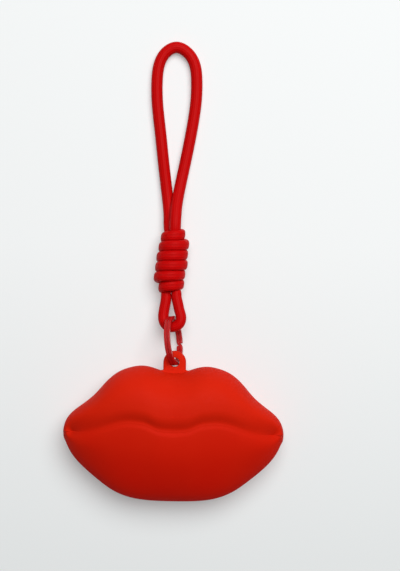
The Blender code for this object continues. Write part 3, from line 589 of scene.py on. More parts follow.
def tab_edge():
    """The tab's round edge from its lower to its upper face: how far out, and how high."""
    half = TAB_THICKNESS / 2
    lower = [(TAB_EDGE * math.sin(t), TAB_EDGE * (1 - math.cos(t)) - half) for t in (0, math.pi / 4)]
    lower.append((TAB_EDGE, TAB_EDGE - half))
    return lower + [(TAB_EDGE, 0.0)] + [(out, -z) for out, z in lower[::-1]]


def add_tab(shell, ids):
    """The hang tab: it leaves the skin with a fillet, and has a round head with a hole."""
    middle = COLUMNS // 2
    left, right = middle - TAB_COLUMNS, middle + TAB_COLUMNS
    low, high = TAB_RINGS
    wide, tall = right - left, high - low
    root = list(ids[left:right, low]) + list(ids[right, low:high])
    root += list(ids[right:left:-1, high]) + list(ids[left, high:low:-1])
    flat = TAB_WIDTH / 2 - TAB_EDGE
    edge = tab_edge()
    half = TAB_THICKNESS / 2
    across = [flat * (2 * i / wide - 1) for i in range(wide)]
    section = [(x, -half) for x in across] + [(flat + out, z) for out, z in edge[:tall]]
    section += [(-x, half) for x in across] + [(-flat - out, z) for out, z in edge[:0:-1]]
    start = np.array(shell.points)[root]
    target = np.array([(x, TAB_ROOT_OFFSET, TAB_MIDDLE + z) for x, z in section])
    rows = [root]
    for i in range(1, TAB_FILLET_STEPS + 1):
        turn = math.pi / 2 * i / TAB_FILLET_STEPS
        weights = np.array([math.sin(turn), 1 - math.cos(turn), math.sin(turn)])
        rows.append(shell.add(start + (target - start) * weights))
    shell.tube(rows)
    loop = list(rows[-1]) + [rows[-1][0]]
    rim = tab_rim(shell, loop, edge, flat, wide, tall)
    top = [loop[wide * 2 + tall - i] for i in range(wide + 1)] + [row[-1] for row in rim[1:-1]]
    bottom = [loop[i] for i in range(wide + 1)] + [row[0] for row in rim[1:-1]]
    tab_faces(shell, top, bottom)


def tab_rim(shell, loop, edge, flat, wide, tall):
    """The round edge along the tab's sides and head."""
    stops = []
    for i in range(TAB_SIDE_STEPS):
        y = TAB_ROOT_OFFSET + (TAB_HOLE_OFFSET - TAB_ROOT_OFFSET) * i / TAB_SIDE_STEPS
        stops.append(((flat, y), (1.0, 0.0)))
    for i in range(TAB_HEAD_STEPS + 1):
        turn = math.pi * i / TAB_HEAD_STEPS
        out = (math.cos(turn), math.sin(turn))
        stops.append(((flat * out[0], TAB_HOLE_OFFSET + flat * out[1]), out))
    stops += [((-x, y), (-out[0], out[1])) for (x, y), out in stops[TAB_SIDE_STEPS - 1 :: -1]]
    rim = [[loop[wide + p] for p in range(tall + 1)]]
    for (x, y), out in stops[1:-1]:
        row = [(x + out[0] * away, y + out[1] * away, TAB_MIDDLE + z) for away, z in edge]
        rim.append(list(shell.add(row)))
    rim.append([loop[-1 - p] for p in range(tall + 1)])
    shell.grid(np.array(rim))
    return rim


def tab_faces(shell, top, bottom):
    """The tab's two flat faces and the hole's wall between them, along rays from the hole."""
    points = np.array(shell.points)
    centre = np.array([0.0, TAB_HOLE_OFFSET])
    off = points[top][:, :2] - centre
    reach = np.linalg.norm(off, axis=1)
    ray = off / reach[:, None]
    half, radius, round_by = TAB_THICKNESS / 2, TAB_HOLE_RADIUS, TAB_HOLE_EDGE
    profile = [((reach + radius + round_by) / 2, half)]
    for turn in np.linspace(0, math.pi / 2, TAB_HOLE_STEPS + 1):
        wall = radius + round_by * (1 - math.sin(turn))
        profile.append((np.full(len(ray), wall), half - round_by * (1 - math.cos(turn))))
    rows = [top]
    for radii, z in profile + [(radii, -z) for radii, z in profile[::-1]]:
        heights = np.full(len(ray), TAB_MIDDLE + z)
        rows.append(shell.add(np.column_stack([centre + ray * radii[:, None], heights])))
    rows.append(bottom)
    shell.tube(rows)


def make_purse(finish):
    """The moulding in two closed meshes that meet along the mouth and at its corners. Gives where
    the lower lip bends, and the skin of the hollow."""
    outer, inner = skin(0.0), skin(WALL)
    half_heights = groove_half_heights()
    middle = COLUMNS // 2
    columns = range(middle - TAB_COLUMNS, middle + TAB_COLUMNS)
    window = {(k, j) for k in columns for j in range(*TAB_RINGS)}
    body, lip = Shell(), Shell()
    uppers, body_edges, lip_edges = [], [], []
    for sides, left_out in ((outer, window), (inner, ())):
        upper = body.add(sides["upper"])
        back = body.add(sides["back"])
        back[0], back[-1] = upper[0, : BACK_RINGS + 1], upper[-1, : BACK_RINGS + 1]
        body.grid(upper, left_out)
        body.grid(back)
        cap_back(body, upper[:, 0], back[:, 0])
        front = lip.add(sides["lip"])
        lip.grid(front)
        uppers.append(upper)
        body_edges.append(border(upper[:, BACK_RINGS:], back[:, -1]))
        lip_edges.append(border(front, front[:, 0]))
    close_wall(body, *body_edges, half_heights, 1)
    add_tab(body, uppers[0])
    purse = show("purse_body", body.mesh(), finish)
    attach(purse, "purse")
    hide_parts("purse_shell")

    close_wall(lip, *lip_edges, half_heights, -1)
    lower = show("lower_lip_skin", lip.mesh(), finish)
    fixed = outer["lip"][half_heights == 0, 0, 1].min()
    bend = ((0.0, fixed, 0.0), (0.0, fixed - LIP_BEND_LENGTH, 0.0))
    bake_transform(lower)
    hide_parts("lower_lip")
    return bend, list(inner.values())


# Zip


def zip_place(angle, radial, height):
    reach = ZIP_RADIUS + radial
    return (reach * math.sin(angle), ZIP_CENTRE_OFFSET - reach * math.cos(angle), ZIP_HEIGHT + height)


def hollow_tree(hollow):
    """The hollow's skin, for finding how high the tapes can reach."""
    shell = Shell()
    for points in hollow:
        shell.grid(shell.add(points))
    return BVHTree.FromPolygons(shell.points, shell.faces)


def make_tape(name, way, tree, finish):
    """One tape: a thin band along the zip's arc, up or down from the coils. Past the end stop its
    edge comes to the middle."""
    stop = COIL_START - (2 * STOP_GAP + STOP_LENGTH) / ZIP_RADIUS
    shares = np.linspace(0, 1, TAPE_ROWS + 1)
    thinned = 1 - TAPE_THINNING * abs(2 * shares - 1) ** TAPE_THINNING_POWER
    rings = []
    for i in range(TAPE_COLUMNS + 1):
        angle = ZIP_END_ANGLE * (2 * i / TAPE_COLUMNS - 1)
        base = Vector(zip_place(angle, 0.0, way * TAPE_EDGE))
        hit = tree.ray_cast(base, UP * way)
        room = hit[3] - TAPE_MARGIN if hit[0] else TAPE_WIDTH
        outer = TAPE_EDGE + max(min(TAPE_WIDTH, room), TAPE_MARGIN)
        past = eased((stop - angle) * ZIP_RADIUS / TAPE_CLOSING_LENGTH)
        inner = TAPE_EDGE + (TAPE_CLOSED_EDGE - TAPE_EDGE) * past
        face = list(zip(TAPE_THICKNESS / 2 * thinned, way * (inner + (outer - inner) * shares)))
        section = face + [(-out, height) for out, height in face[::-1]]
        rings.append([zip_place(angle, out, height) for out, height in section])
    shell = Shell()
    shell.tube(shell.add(rings), capped=True)
    mesh = shell.mesh()
    turns = [math.atan2(v.co.x, ZIP_CENTRE_OFFSET - v.co.y) for v in mesh.vertices]
    set_values(mesh, "along", ZIP_RADIUS * np.array(turns))
    set_values(mesh, "across", [v.co.z - ZIP_HEIGHT for v in mesh.vertices])
    return show(name, mesh, finish)


def set_values(mesh, name, values):
    attribute = mesh.attributes.new(name, "FLOAT", "POINT")
    attribute.data.foreach_set("value", np.asarray(values, np.float32))


def circle(radius, sides):
    turns = 2 * math.pi * np.arange(sides) / sides
    return radius * np.stack([np.cos(turns), np.sin(turns)], axis=1)


def swept(points, normals, section):
    """A tube along points. The section is an array of (out, side) offsets in the frame of a point's
    normal, or one such array for each point."""
    points, normals = np.asarray(points, float), np.asarray(normals, float)
    tangents = np.gradient(points, axis=0)
    tangents /= np.linalg.norm(tangents, axis=1)[:, None]
    sides = np.cross(tangents, normals)
    sides /= np.linalg.norm(sides, axis=1)[:, None]
    outs = np.cross(sides, tangents)
    offsets = np.asarray(section, float)
    if offsets.ndim == 2:
        offsets = np.broadcast_to(offsets, (len(points), *offsets.shape))
    out_part = offsets[..., :1] * outs[:, None]
    side_part = offsets[..., 1:] * sides[:, None]
    shell = Shell()
    shell.tube(shell.add(points[:, None] + out_part + side_part), capped=True)
    return shell


def coil_mesh(way):
    """A wound coil, whose heads mesh with the other coil's half a pitch along."""
    low, high = COIL_REACH[0] + COIL_WIRE, COIL_REACH[1] - COIL_WIRE
    middle, reach = (low + high) / 2, (high - low) / 2
    pitch = (COIL_END - COIL_START) / (COIL_LOOPS + 0.5)
    ahead = 0.5 if way > 0 else 0.0
    points, normals = [], []
    for i in range(COIL_LOOPS * COIL_STEPS_A_LOOP + 1):
        turns = i / COIL_STEPS_A_LOOP
        angle = COIL_START + pitch * (turns + ahead)
        shift = COIL_PART * eased((angle - SLIDER_ANGLE) / COIL_PART_ANGLE)
        height = middle + shift / 2 + (reach - shift / 2) * math.cos(2 * math.pi * turns)
        radial = (COIL_HALF_THICKNESS - COIL_WIRE) * math.sin(2 * math.pi * turns)
        points.append(zip_place(angle, radial, way * height))
        normals.append((math.cos(angle), math.sin(angle), 0.0))
    return swept(points, normals, circle(COIL_WIRE, COIL_SIDES)).mesh()


def stitch_mesh(way):
    """A row of stitches on both faces of a tape, which hold its coil."""
    shell = Shell()
    count = int(2 * ZIP_END_ANGLE * ZIP_RADIUS / STITCH_STEP)
    section = circle(STITCH_RADIUS, STITCH_SIDES)
    for side in (1, -1):
        for i in range(count):
            points = []
            for part in np.linspace(0, 1, STITCH_POINTS):
                place = i + 0.5 + STITCH_SHARE * (part - 0.5)
                angle = ZIP_END_ANGLE * (2 * place / count - 1)
                rise = STITCH_RISE * STITCH_RADIUS * (2 * math.sin(math.pi * part) - 1)
                out = side * (TAPE_THICKNESS / 2 + rise)
                points.append(zip_place(angle, out, way * STITCH_HEIGHT))
            shell.take(swept(points, [UP] * len(points), section))
    return shell.mesh()


def bevel_mesh(mesh, width, segments=3, angle=40.0):
    """Rounds the sharp edges of a mesh."""
    build = bmesh.new()
    build.from_mesh(mesh)
    limit = math.radians(angle)
    sharp = [e for e in build.edges if len(e.link_faces) == 2 and e.calc_face_angle() > limit]
    bmesh.ops.bevel(
        build, geom=sharp, offset=width, segments=segments, profile=0.5, affect="EDGES",
        clamp_overlap=True,
    )
    build.to_mesh(mesh)
    build.free()


def combine(first, operation, second):
    """One mesh with the other joined to it or cut from it."""
    pair = [add_object("step", mesh) for mesh in (first, second)]
    cut = pair[0].modifiers.new("combine", "BOOLEAN")
    cut.operation = operation
    cut.solver = "EXACT"
    cut.object = pair[1]
    bpy.context.view_layer.update()
    evaluated = pair[0].evaluated_get(bpy.context.evaluated_depsgraph_get())
    result = bpy.data.meshes.new_from_object(evaluated)
    for step in pair:
        bpy.data.objects.remove(step)
    return result


def plate(outline, low, high, edge=0.0, segments=3, angle=40.0):
    """A flat plate over an outline in its own x and y, with its edges rounded."""
    shell = Shell()
    shell.tube(shell.add([[(x, y, z) for x, y in outline] for z in (low, high)]), capped=True)
    mesh = shell.mesh()
    if edge:
        bevel_mesh(mesh, edge, segments, angle)
    return mesh


def rounded(points, radius, steps=5):
    """An outline with each of its corners rounded."""
    result = []
    count = len(points)
    for i in range(count):
        here = Vector(points[i])
        before = Vector(points[i - 1]) - here
        after = Vector(points[(i + 1) % count]) - here
        most = ROUNDED_MOST_SHARE * min(before.length, after.length)
        cut = min(radius / math.tan(before.angle(after) / 2), most)
        start, end = here + before.normalized() * cut, here + after.normalized() * cut
        for t in np.linspace(0, 1, steps + 1):
            result.append(tuple(start * (1 - t) ** 2 + here * 2 * t * (1 - t) + end * t**2))
    return result


def mirrored(side):
    """A whole outline from one side of it: the same points again across the line y = 0."""
    return side + [(x, -y) for x, y in side[::-1] if y]


def drawn(outline, radius, steps=5):
    """A rounded outline in metres from one in millimetres."""
    return rounded([(x * MM, y * MM) for x, y in outline], radius, steps)


def slider_axes():
    """Along the arc and out of the purse, at the slider."""
    along = Vector((math.cos(SLIDER_ANGLE), math.sin(SLIDER_ANGLE), 0.0))
    return along, Vector((along.y, -along.x, 0.0))


def set_at_slider(mesh, radial, axes):
    """Brings a mesh to the slider, with its own x, y and z along the given axes."""
    turn = Matrix(axes).transposed().to_4x4()
    place = Vector(zip_place(SLIDER_ANGLE, radial, 0.0))
    mesh.transform(Matrix.Translation(place) @ turn)
    mesh.update()


def make_slider(metal):
    """The slider: two plates with bent-in flanges, a post between them, and a bridge for the pull."""
    outline = drawn(mirrored(PLATE_OUTLINE), PLATE_CORNER)
    low, high = PLATE_LEVELS
    inside = (low + high) / 2
    body = plate(outline, low, high, PLATE_EDGE)
    parts = [plate(drawn(mirrored(POST_OUTLINE), POST_CORNER, steps=3), -inside, inside)]
    parts.append(plate(outline, -high, -low, PLATE_EDGE))
    for sign in (-1, 1):
        edges = [(x * MM, sign * y * MM) for x, y in FLANGE_OUTLINE]
        for face in (-1, 1):
            levels = sorted(face * level for level in FLANGE_LEVELS)
            parts.append(plate(edges, *levels, FLANGE_EDGE, segments=2))
    for part in parts + [bridge_mesh(inside)]:
        body = combine(body, "UNION", part)
    along, out = slider_axes()
    set_at_slider(body, 0.0, (along, UP, out))
    slider = show("slider_body", body, metal, sharp_angle=30.0)
    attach(slider, "slider")
    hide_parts("zip_slider")


def arch(half, lean, top, foot, radius):
    """An arch from foot to foot, with its shoulders rounded."""
    feet = [(-half, foot), (half, foot)]
    corners = [feet[0], (-half * lean, top), (half * lean, top), feet[1]]
    shoulders = rounded(corners, radius, BRIDGE_STEPS)[BRIDGE_STEPS + 1 : -BRIDGE_STEPS - 1]
    return [feet[0]] + shoulders + [feet[1]]


def bridge_mesh(foot):
    """The bridge in its own plane, along the arc and outwards, then given its width."""
    half, top, wall = BRIDGE_HALF_LENGTH, BRIDGE_TOP, BRIDGE_WALL
    outer = arch(half, BRIDGE_LEAN, top, foot, BRIDGE_CORNERS[0])
    inner = arch(half - wall, 1.0, top - wall, foot, BRIDGE_CORNERS[1])
    wide = BRIDGE_HALF_WIDTH
    mesh = plate(outer + inner[::-1], -wide, wide, BRIDGE_EDGE, angle=50.0)
    # The plate's z becomes the slider's up, and its y the slider's outward direction.
    mesh.transform(Matrix(((1, 0, 0, 0), (0, 0, 1, 0), (0, 1, 0, 0), (0, 0, 0, 1))))
    mesh.flip_normals()
    return mesh


def make_pull(metal):
    """A flat pull with a window at its bar and a raised rim round a sunk grip."""
    thick, clear = PULL_HALF_THICKNESS, 2 * PULL_HALF_THICKNESS
    mesh = plate(drawn(PULL_OUTLINE, PULL_CORNERS[0]), -thick, thick)
    window = drawn(mirrored(PULL_WINDOW), PULL_CORNERS[1], steps=4)
    mesh = combine(mesh, "DIFFERENCE", plate(window, -clear, clear))
    grip = drawn(mirrored(PULL_GRIP), PULL_CORNERS[2], steps=4)
    for face in (-1, 1):
        levels = sorted((face * PULL_SUNK_SHARE * thick, face * clear))
        mesh = combine(mesh, "DIFFERENCE", plate(grip, *levels))
    bevel_mesh(mesh, PULL_EDGE, segments=2, angle=50.0)
    along, out = slider_axes()
    lean = Matrix.Rotation(-PULL_LEAN, 3, "Z")
    set_at_slider(mesh, PULL_LEVEL, (lean @ -along, -UP, lean @ out))
    pull = show("pull_tab", mesh, metal, sharp_angle=30.0)
    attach(pull, "pull")
    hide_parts("zip_pull")


def make_zip(hollow, fabric, coil, metal):
    """Tapes, coils, stitches, stops, slider and pull."""
    tree = hollow_tree(hollow)
    for half, way in (("back", -1), ("front", 1)):
        tape = make_tape(f"tape_{half}", way, tree, fabric)
        wound = show(f"coil_{half}", coil_mesh(way), coil, ROUND_WIRE_ANGLE)
        thread = stitch_mesh(way)
        thread = show(f"tape_stitches_{half}", thread, fabric, ROUND_WIRE_ANGLE)
        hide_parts(f"zip_tape_{half}")
        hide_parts(f"zip_coil_{half}")
        for piece in (tape, wound, thread):
            if way < 0:
                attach(piece, "purse")
            else:
                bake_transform(piece)
        heights = sorted((way * COIL_BAND[0], way * COIL_BAND[1]))
        start = COIL_END + STOP_GAP / ZIP_RADIUS
        add_stop(f"top_stop_{half}", f"zip_top_stop_{half}", heights, start, metal)
    start = COIL_START - (STOP_GAP + STOP_LENGTH) / ZIP_RADIUS
    add_stop("end_stop", "zip_end_stop", (-COIL_BAND[1], COIL_BAND[1]), start, metal)
    make_slider(metal)
    make_pull(metal)


def add_stop(name, node, heights, start, metal):
    """A small clamp bent along the zip's arc, with its edges rounded."""
    half, (low, high) = STOP_HALF_THICKNESS, heights
    corners = [(-half, low), (half, low), (half, high), (-half, high)]
    turns = np.linspace(start, start + STOP_LENGTH / ZIP_RADIUS, STOP_STEPS + 1)
    shell = Shell()
    rings = [[zip_place(turn, out, height) for out, height in corners] for turn in turns]
    shell.tube(shell.add(rings), capped=True)
    mesh = shell.mesh()
    bevel_mesh(mesh, STOP_EDGE)
    stop = show(name, mesh, metal, sharp_angle=60.0)
    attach(stop, "purse")
    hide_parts(node)


# Split ring


def ring_frame():
    """Along the ring from the tab, up in its plane, and its axis."""
    along = Vector((-math.sin(RING_YAW), math.cos(RING_YAW), 0.0))
    up = math.cos(RING_TILT) * UP - math.sin(RING_TILT) * along.cross(UP)
    return along, up, along.cross(up)


def ring_centre():
    along, up, _ = ring_frame()
    half = RING_WIRE + RING_TURN_GAP / 2
    stand = RING_DIAMETER / 2 * math.cos(RING_TILT) + half * math.sin(RING_TILT) + STAND_GAP
    rise = (TAB_MIDDLE - stand) / up.z
    seat = Vector((0.0, TAB_HOLE_OFFSET + RING_SEAT, TAB_MIDDLE))
    return seat + along * math.sqrt(RING_MIDDLE**2 - rise**2) - up * rise


def make_ring(lacquer):
    """A double turn of flat wire that steps across halfway, with round-edged cut ends."""
    along, up, axis = ring_frame()
    centre = ring_centre() - along * RING_STRETCH / 2 + up * RING_LIFT
    middle = RING_MIDDLE + RING_STRETCH / 2
    offset = (RING_WIRE + RING_SEAM) / 2
    steps = math.ceil(RING_TURNS * RING_STEPS_A_TURN)
    wide, tall = RING_RADIAL / 2, RING_WIRE / 2
    section = np.array(rounded(mirrored([(-wide, -tall), (wide, -tall)]), RING_EDGE, steps=4))
    draws = np.ones(steps + 1)
    draws[[0, -1]], draws[[1, -2]] = RING_END_DRAWS
    points, normals = [], []
    for turn in np.linspace(0, RING_TURNS, steps + 1):
        jog = math.tanh((turn - RING_TURNS / 2) / RING_JOG_SHARE)
        angle = 2 * math.pi * (turn + RING_END_TURN_SHARE)
        out = up * math.sin(angle) - along * math.cos(angle)
        points.append(centre + out * middle + axis * offset * jog)
        normals.append(out)
    mesh = swept(points, normals, draws[:, None, None] * section).mesh()
    ring = show("ring_wire", mesh, lacquer)
    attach(ring, "ring")
    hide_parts("split_ring")


# Cord strap


def eye_frame():
    """Where the eye rides on the ring's wire, and the eye's directions: across and along."""
    along, up, _ = ring_frame()
    rise, fall = math.cos(EYE_DROP), math.sin(EYE_DROP)
    centre = ring_centre() + (rise * along - fall * up) * RING_MIDDLE
    axis = rise * up + fall * along
    towards = knot_ends(centre)[0] - centre
    towards = (towards - axis * towards.dot(axis)).normalized()
    return centre, towards.cross(axis), towards


def knot_ends(eye_centre):
    height = KNOT_RADIUS + KNOT_CAD_CORD / 2 + KNOT_LIFT
    start = Vector((eye_centre.x + KNOT_SHIFT, eye_centre.y + KNOT_REACH, height))
    length = KNOT_TURNS * (KNOT_CAD_CORD + KNOT_TURN_GAP)
    return start, start + Vector((math.sin(KNOT_LEAN), math.cos(KNOT_LEAN), 0.0)) * length


def knot_route(start, end):
    """The winding's middle line, whose ends tuck in under it, and its outward directions."""
    axis = end - start
    unit = axis.normalized()
    side = UP.cross(unit).normalized()
    radii = np.array(KNOT_RADIUS_SHARES) * KNOT_RADIUS
    places = np.linspace(0, 1, len(radii)) * KNOT_TURNS * KNOT_RADIUS
    radius_at, reach = spline(np.stack([places, radii], axis=1))
    steps = math.ceil(KNOT_TURNS * KNOT_STEPS_A_TURN)
    tail_steps = math.ceil(KNOT_TAIL_TURN_SHARE * KNOT_STEPS_A_TURN)
    points, outs = [], []
    for i in range(-tail_steps, steps + tail_steps + 1):
        wound = min(max(i, 0), steps)
        share, tail = wound / steps, (i - wound) / tail_steps
        radius = float(radius_at(share * reach[-1])[0][1])
        radius += (KNOT_TAIL_RADIUS - radius) * tail * tail
        angle = 2 * math.pi * (KNOT_TURNS * share + KNOT_TAIL_TURN_SHARE * tail)
        out = side * math.cos(angle) + UP * math.sin(angle)
        inward = -KNOT_CAD_CORD * KNOT_TAIL_TURN_SHARE * tail
        points.append(start + axis * share + unit * inward + out * radius)
        outs.append(out)
    return np.array(points), np.array(outs)


def carried_normals(points):
    """Normals along a route that don't twist about it."""
    tangents = np.gradient(points, axis=0)
    tangents /= np.linalg.norm(tangents, axis=1)[:, None]
    normal = np.cross(tangents[0], UP)
    normals = []
    for tangent in tangents:
        normal = normal - tangent * (normal @ tangent)
        normal /= np.linalg.norm(normal)
        normals.append(normal)
    return normals


def cord_mesh(strands, squareness):
    """Cords in one mesh. A strand is a route, its normals and its sizes: its two diameters, out
    along the normal and across, the same all along or one pair for each point. The mesh keeps each
    point's place along and around its cord."""
    turns = 2 * math.pi * np.arange(CORD_SIDES) / CORD_SIDES
    out, side = (np.sign(v) * np.abs(v) ** (2 / squareness) for v in (np.cos(turns), np.sin(turns)))
    shell = Shell()
    along, around = [], []
    for route, normals, sizes in strands:
        sizes = np.broadcast_to(np.asarray(sizes, float), (len(route), 2))
        section = np.stack([out * sizes[:, :1] / 2, side * sizes[:, 1:] / 2], axis=2)
        shell.take(swept(route, normals, section))
        along.append(np.repeat(distances(route), CORD_SIDES))
        around.append(np.tile(turns, len(route)))
    mesh = shell.mesh()
    set_values(mesh, "along", np.concatenate(along))
    set_values(mesh, "around", np.concatenate(around))
    return mesh


def smooth_route(points):
    place, along = spline(points)
    count = math.ceil(along[-1] / CORD_STEP)
    return place(np.linspace(0, along[-1], count + 1))


def squeezed(route, section):
    """A cord's sizes along a route whose two ends are pressed together inside the knot."""
    along = distances(route)
    free = eased(np.minimum(along, along[-1] - along) / TUCK_LENGTH)
    return np.outer(TUCK_SQUEEZE + (1 - TUCK_SQUEEZE) * free, section)


def core_strands(start, end):
    """The two strands that the knot is wound on, squeezed side by side."""
    axis = (end - start).normalized()
    side = axis.cross(UP).normalized()
    low, high = start - axis * KNOT_CAD_CORD / 2, end + axis * KNOT_CAD_CORD / 2
    shares = np.linspace(0, 1, CORE_STEPS + 1)
    draws = 1 - CORE_TAPER * np.clip((shares - CORE_TAPER_START) / (1 - CORE_TAPER_START), 0, 1)
    strands = []
    for sign in (-1, 1):
        shift = side * sign * CORE_STRAND[0] / 2
        route = [low.lerp(high, share) + shift * draw for share, draw in zip(shares, draws)]
        strands.append((np.array(route), [side] * len(route), np.outer(draws, CORE_STRAND)))
    return strands


def make_strap(finish):
    """One cord, built in its stretches: the hand loop, the winding round its core, and the eye."""
    centre, across, along = eye_frame()
    start, end = knot_ends(centre)
    base = Vector((end.x, end.y, 0.0))
    loop = smooth_route([base + Vector(p) * MM for p in LOOP_ROUTE_MM])
    eye = smooth_route([centre + across * x * MM + along * y * MM for x, y in EYE_ROUTE_MM])
    winding, outs = knot_route(start, end)

    def add(name, node, strands, squareness=2.0):
        piece = show(name, cord_mesh(strands, squareness), finish, sharp_angle=70.0)
        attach(piece, "strap")
        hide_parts(node)
        return piece

    loop_strand = (loop, carried_normals(loop), squeezed(loop, LOOP_SECTION))
    eye_strand = (eye, carried_normals(eye), squeezed(eye, EYE_SECTION))
    hand = add("hand_loop", "strap_loop", [loop_strand])
    knot = add("wound_knot", "strap_knot", [(winding, outs, KNOT_CORD)], KNOT_SQUARENESS)
    bight = add("ring_eye", "strap_eye", [eye_strand])
    core = add("knot_core", "strap_core", core_strands(start, end))


# Materials


class Nodes:
    """Short ways to add nodes to a tree."""

    def __init__(self, tree):
        self.tree = tree

    def node(self, kind, inputs=(), **settings):
        made = self.tree.nodes.new(kind)
        for name, value in settings.items():
            setattr(made, name, value)
        for socket, value in dict(inputs).items():
            target = made.inputs[socket]
            if isinstance(value, bpy.types.NodeSocket):
                self.tree.links.new(value, target)
            else:
                target.default_value = value
        return made

    def math(self, operation, first, second=0.0):
        return self.node("ShaderNodeMath", {0: first, 1: second}, operation=operation).outputs[0]

    def end_in(self, shader, output):
        self.tree.links.new(shader, self.tree.nodes[output].inputs["Surface"])


class Finish(Nodes):
    """A material under construction."""

    def __init__(self, name, colour, roughness):
        self.material = bpy.data.materials.new(name)
        self.material.use_nodes = True
        super().__init__(self.material.node_tree)
        self.shader = self.tree.nodes["Principled BSDF"]
        self.set("Base Color", (*colour, 1.0))
        self.set("Roughness", roughness)
        self.place = self.node("ShaderNodeTexCoord").outputs["Object"]

    def set(self, socket, value):
        self.shader.inputs[socket].default_value = value

    def link(self, source, socket):
        self.tree.links.new(source, self.shader.inputs[socket])

    def noise(self, scale, detail=2.0):
        inputs = {"Vector": self.place, "Scale": scale, "Detail": detail}
        return self.node("ShaderNodeTexNoise", inputs).outputs["Fac"]

    def mottle(self, scale, detail, low, high):
        """A noise, spread between two values."""
        return self.spread(self.noise(scale, detail), *NOISE_RANGE, low, high)

    def up_picture(self):
        """How far a place is towards the strap."""
        return self.node("ShaderNodeSeparateXYZ", {"Vector": self.place}).outputs["Y"]

    def attribute(self, name):
        return self.node("ShaderNodeAttribute", attribute_name=name).outputs["Fac"]

    def wave(self, attribute, rate):
        return self.math("SINE", self.math("MULTIPLY", self.attribute(attribute), rate))

    def between(self, share, first, second):
        """A colour between two, by a share from 0 to 1."""
        inputs = {0: share}
        for socket, colour in zip(MIX_COLOURS, (first, second)):
            linked = isinstance(colour, bpy.types.NodeSocket)
            inputs[socket] = colour if linked else (*colour, 1.0)
        return self.node("ShaderNodeMix", inputs, data_type="RGBA").outputs[MIX_RESULT]

    def spread(self, value, low, high, to_low=0.0, to_high=1.0):
        limits = {"From Min": low, "From Max": high, "To Min": to_low, "To Max": to_high}
        return self.node("ShaderNodeMapRange", {"Value": value, **limits}).outputs["Result"]

    def bump(self, height, strength, distance, normal=None):
        inputs = {"Height": height, "Strength": strength, "Distance": distance}
        if normal:
            inputs["Normal"] = normal
        return self.node("ShaderNodeBump", inputs).outputs["Normal"]


def silicone_finish():
    """Matte moulded silicone: a fine frosted grain, faint cloudiness in the pigment, and painted shade:
    darker and a deeper red towards the lower lip's bottom edge, lighter towards the strap.
    """
    made = Finish("matte_silicone", (0.62, 0.012, 0.005), 0.6)
    # Painted shade: the colour darkens and loses its orange towards the bottom of the lower lip, which
    # faces away from the lamp, and lightens towards the strap. The mottle added on top is the pigment's
    # own cloudiness.
    painted_light_towards_strap = made.spread(made.up_picture(), -25.0 * MM, 15.0 * MM, 0.1, 0.9)
    shade = made.math("ADD", painted_light_towards_strap, made.mottle(55.0, 3.0, -0.1, 0.1))
    made.link(made.between(shade, (0.62, 0.007, 0.0012), (0.65, 0.016, 0.0028)), "Base Color")
    made.link(made.mottle(400.0, 3.0, 0.55, 0.66), "Roughness")
    grain = made.bump(made.noise(5200.0), 0.5, 0.02 * MM)
    made.link(made.bump(made.noise(160.0), 0.35, 0.08 * MM, grain), "Normal")
    made.set("Specular IOR Level", 0.04)
    return made.material


def braid(made, pitch, strands):
    """A braided pattern: two sets of strands that cross, from the cord's own coordinates."""
    along = made.math("MULTIPLY", made.attribute("along"), 2 * math.pi / pitch)
    around = made.math("MULTIPLY", made.attribute("around"), strands)
    one = made.math("SINE", made.math("ADD", along, around))
    two = made.math("SINE", made.math("SUBTRACT", along, around))
    return made.math("MAXIMUM", one, two)


def cord_finish():
    """Satin braided cord: fine crossing strands, faint ridges along it and a soft sheen, with painted
    shade that darkens the colour in the grooves between them.
    """
    made = Finish("satin_cord", (0.52, 0.002, 0.0015), 0.42)
    weave = made.spread(braid(made, 1.1 * MM, 12.0), -1.0, 1.0)
    ridge = made.spread(made.wave("around", 15.0), -1.0, 1.0)
    both = made.math("ADD", made.math("MULTIPLY", weave, 0.5), made.math("MULTIPLY", ridge, 0.5))
    # Painted shade: the colour is darker in the grooves of the braid and between the ridges, and
    # lighter on their tops.
    made.link(made.between(both, (0.43, 0.001, 0.001), (0.61, 0.003, 0.003)), "Base Color")
    made.link(made.bump(ridge, 0.35, 0.12 * MM, made.bump(weave, 0.3, 0.08 * MM)), "Normal")
    made.set("Specular IOR Level", 0.04)
    made.set("Sheen Weight", 0.05)
    made.set("Sheen Roughness", 0.35)
    made.set("Sheen Tint", (1.0, 0.05, 0.04, 1.0))
    return made.material


def lacquer_finish():
    """Red lacquer over metal, with a little orange peel."""
    made = Finish("red_lacquer", (0.48, 0.010, 0.011), 0.25)
    made.link(made.mottle(300.0, 3.0, 0.17, 0.28), "Roughness")
    made.link(made.bump(made.noise(900.0), 0.15, 0.05 * MM), "Normal")
    worn = made.spread(made.noise(700.0, 4.0), 0.62, 0.75)
    made.link(made.between(worn, (0.46, 0.008, 0.009), (0.34, 0.006, 0.007)), "Base Color")
    made.set("Specular IOR Level", 0.18)
    made.set("Coat Weight", 0.08)
    made.set("Coat Roughness", 0.08)
    return made.material


def tape_finish():
    """Woven zip tape: ribs across it and a finer weft along it."""
    made = Finish("woven_tape", (0.42, 0.014, 0.010), 0.75)
    rib = made.wave("across", 2 * math.pi / (0.55 * MM))
    weft = made.wave("along", 2 * math.pi / (0.4 * MM))
    weave = made.spread(made.math("MULTIPLY", rib, weft), -1.0, 1.0)
    made.link(made.between(weave, (0.33, 0.010, 0.007), (0.48, 0.018, 0.012)), "Base Color")
    made.link(made.bump(weave, 0.5, 0.1 * MM), "Normal")
    made.set("Sheen Weight", 0.2)
    return made.material


def coil_finish():
    """Dyed nylon coil."""
    made = Finish("nylon_coil", (0.45, 0.015, 0.010), 0.33)
    colour = made.between(made.noise(1500.0), (0.40, 0.012, 0.008), (0.50, 0.018, 0.012))
    made.link(colour, "Base Color")
    made.link(made.mottle(900.0, 2.0, 0.28, 0.42), "Roughness")
    made.link(made.bump(made.noise(4000.0), 0.15, 0.02 * MM), "Normal")
    return made.material


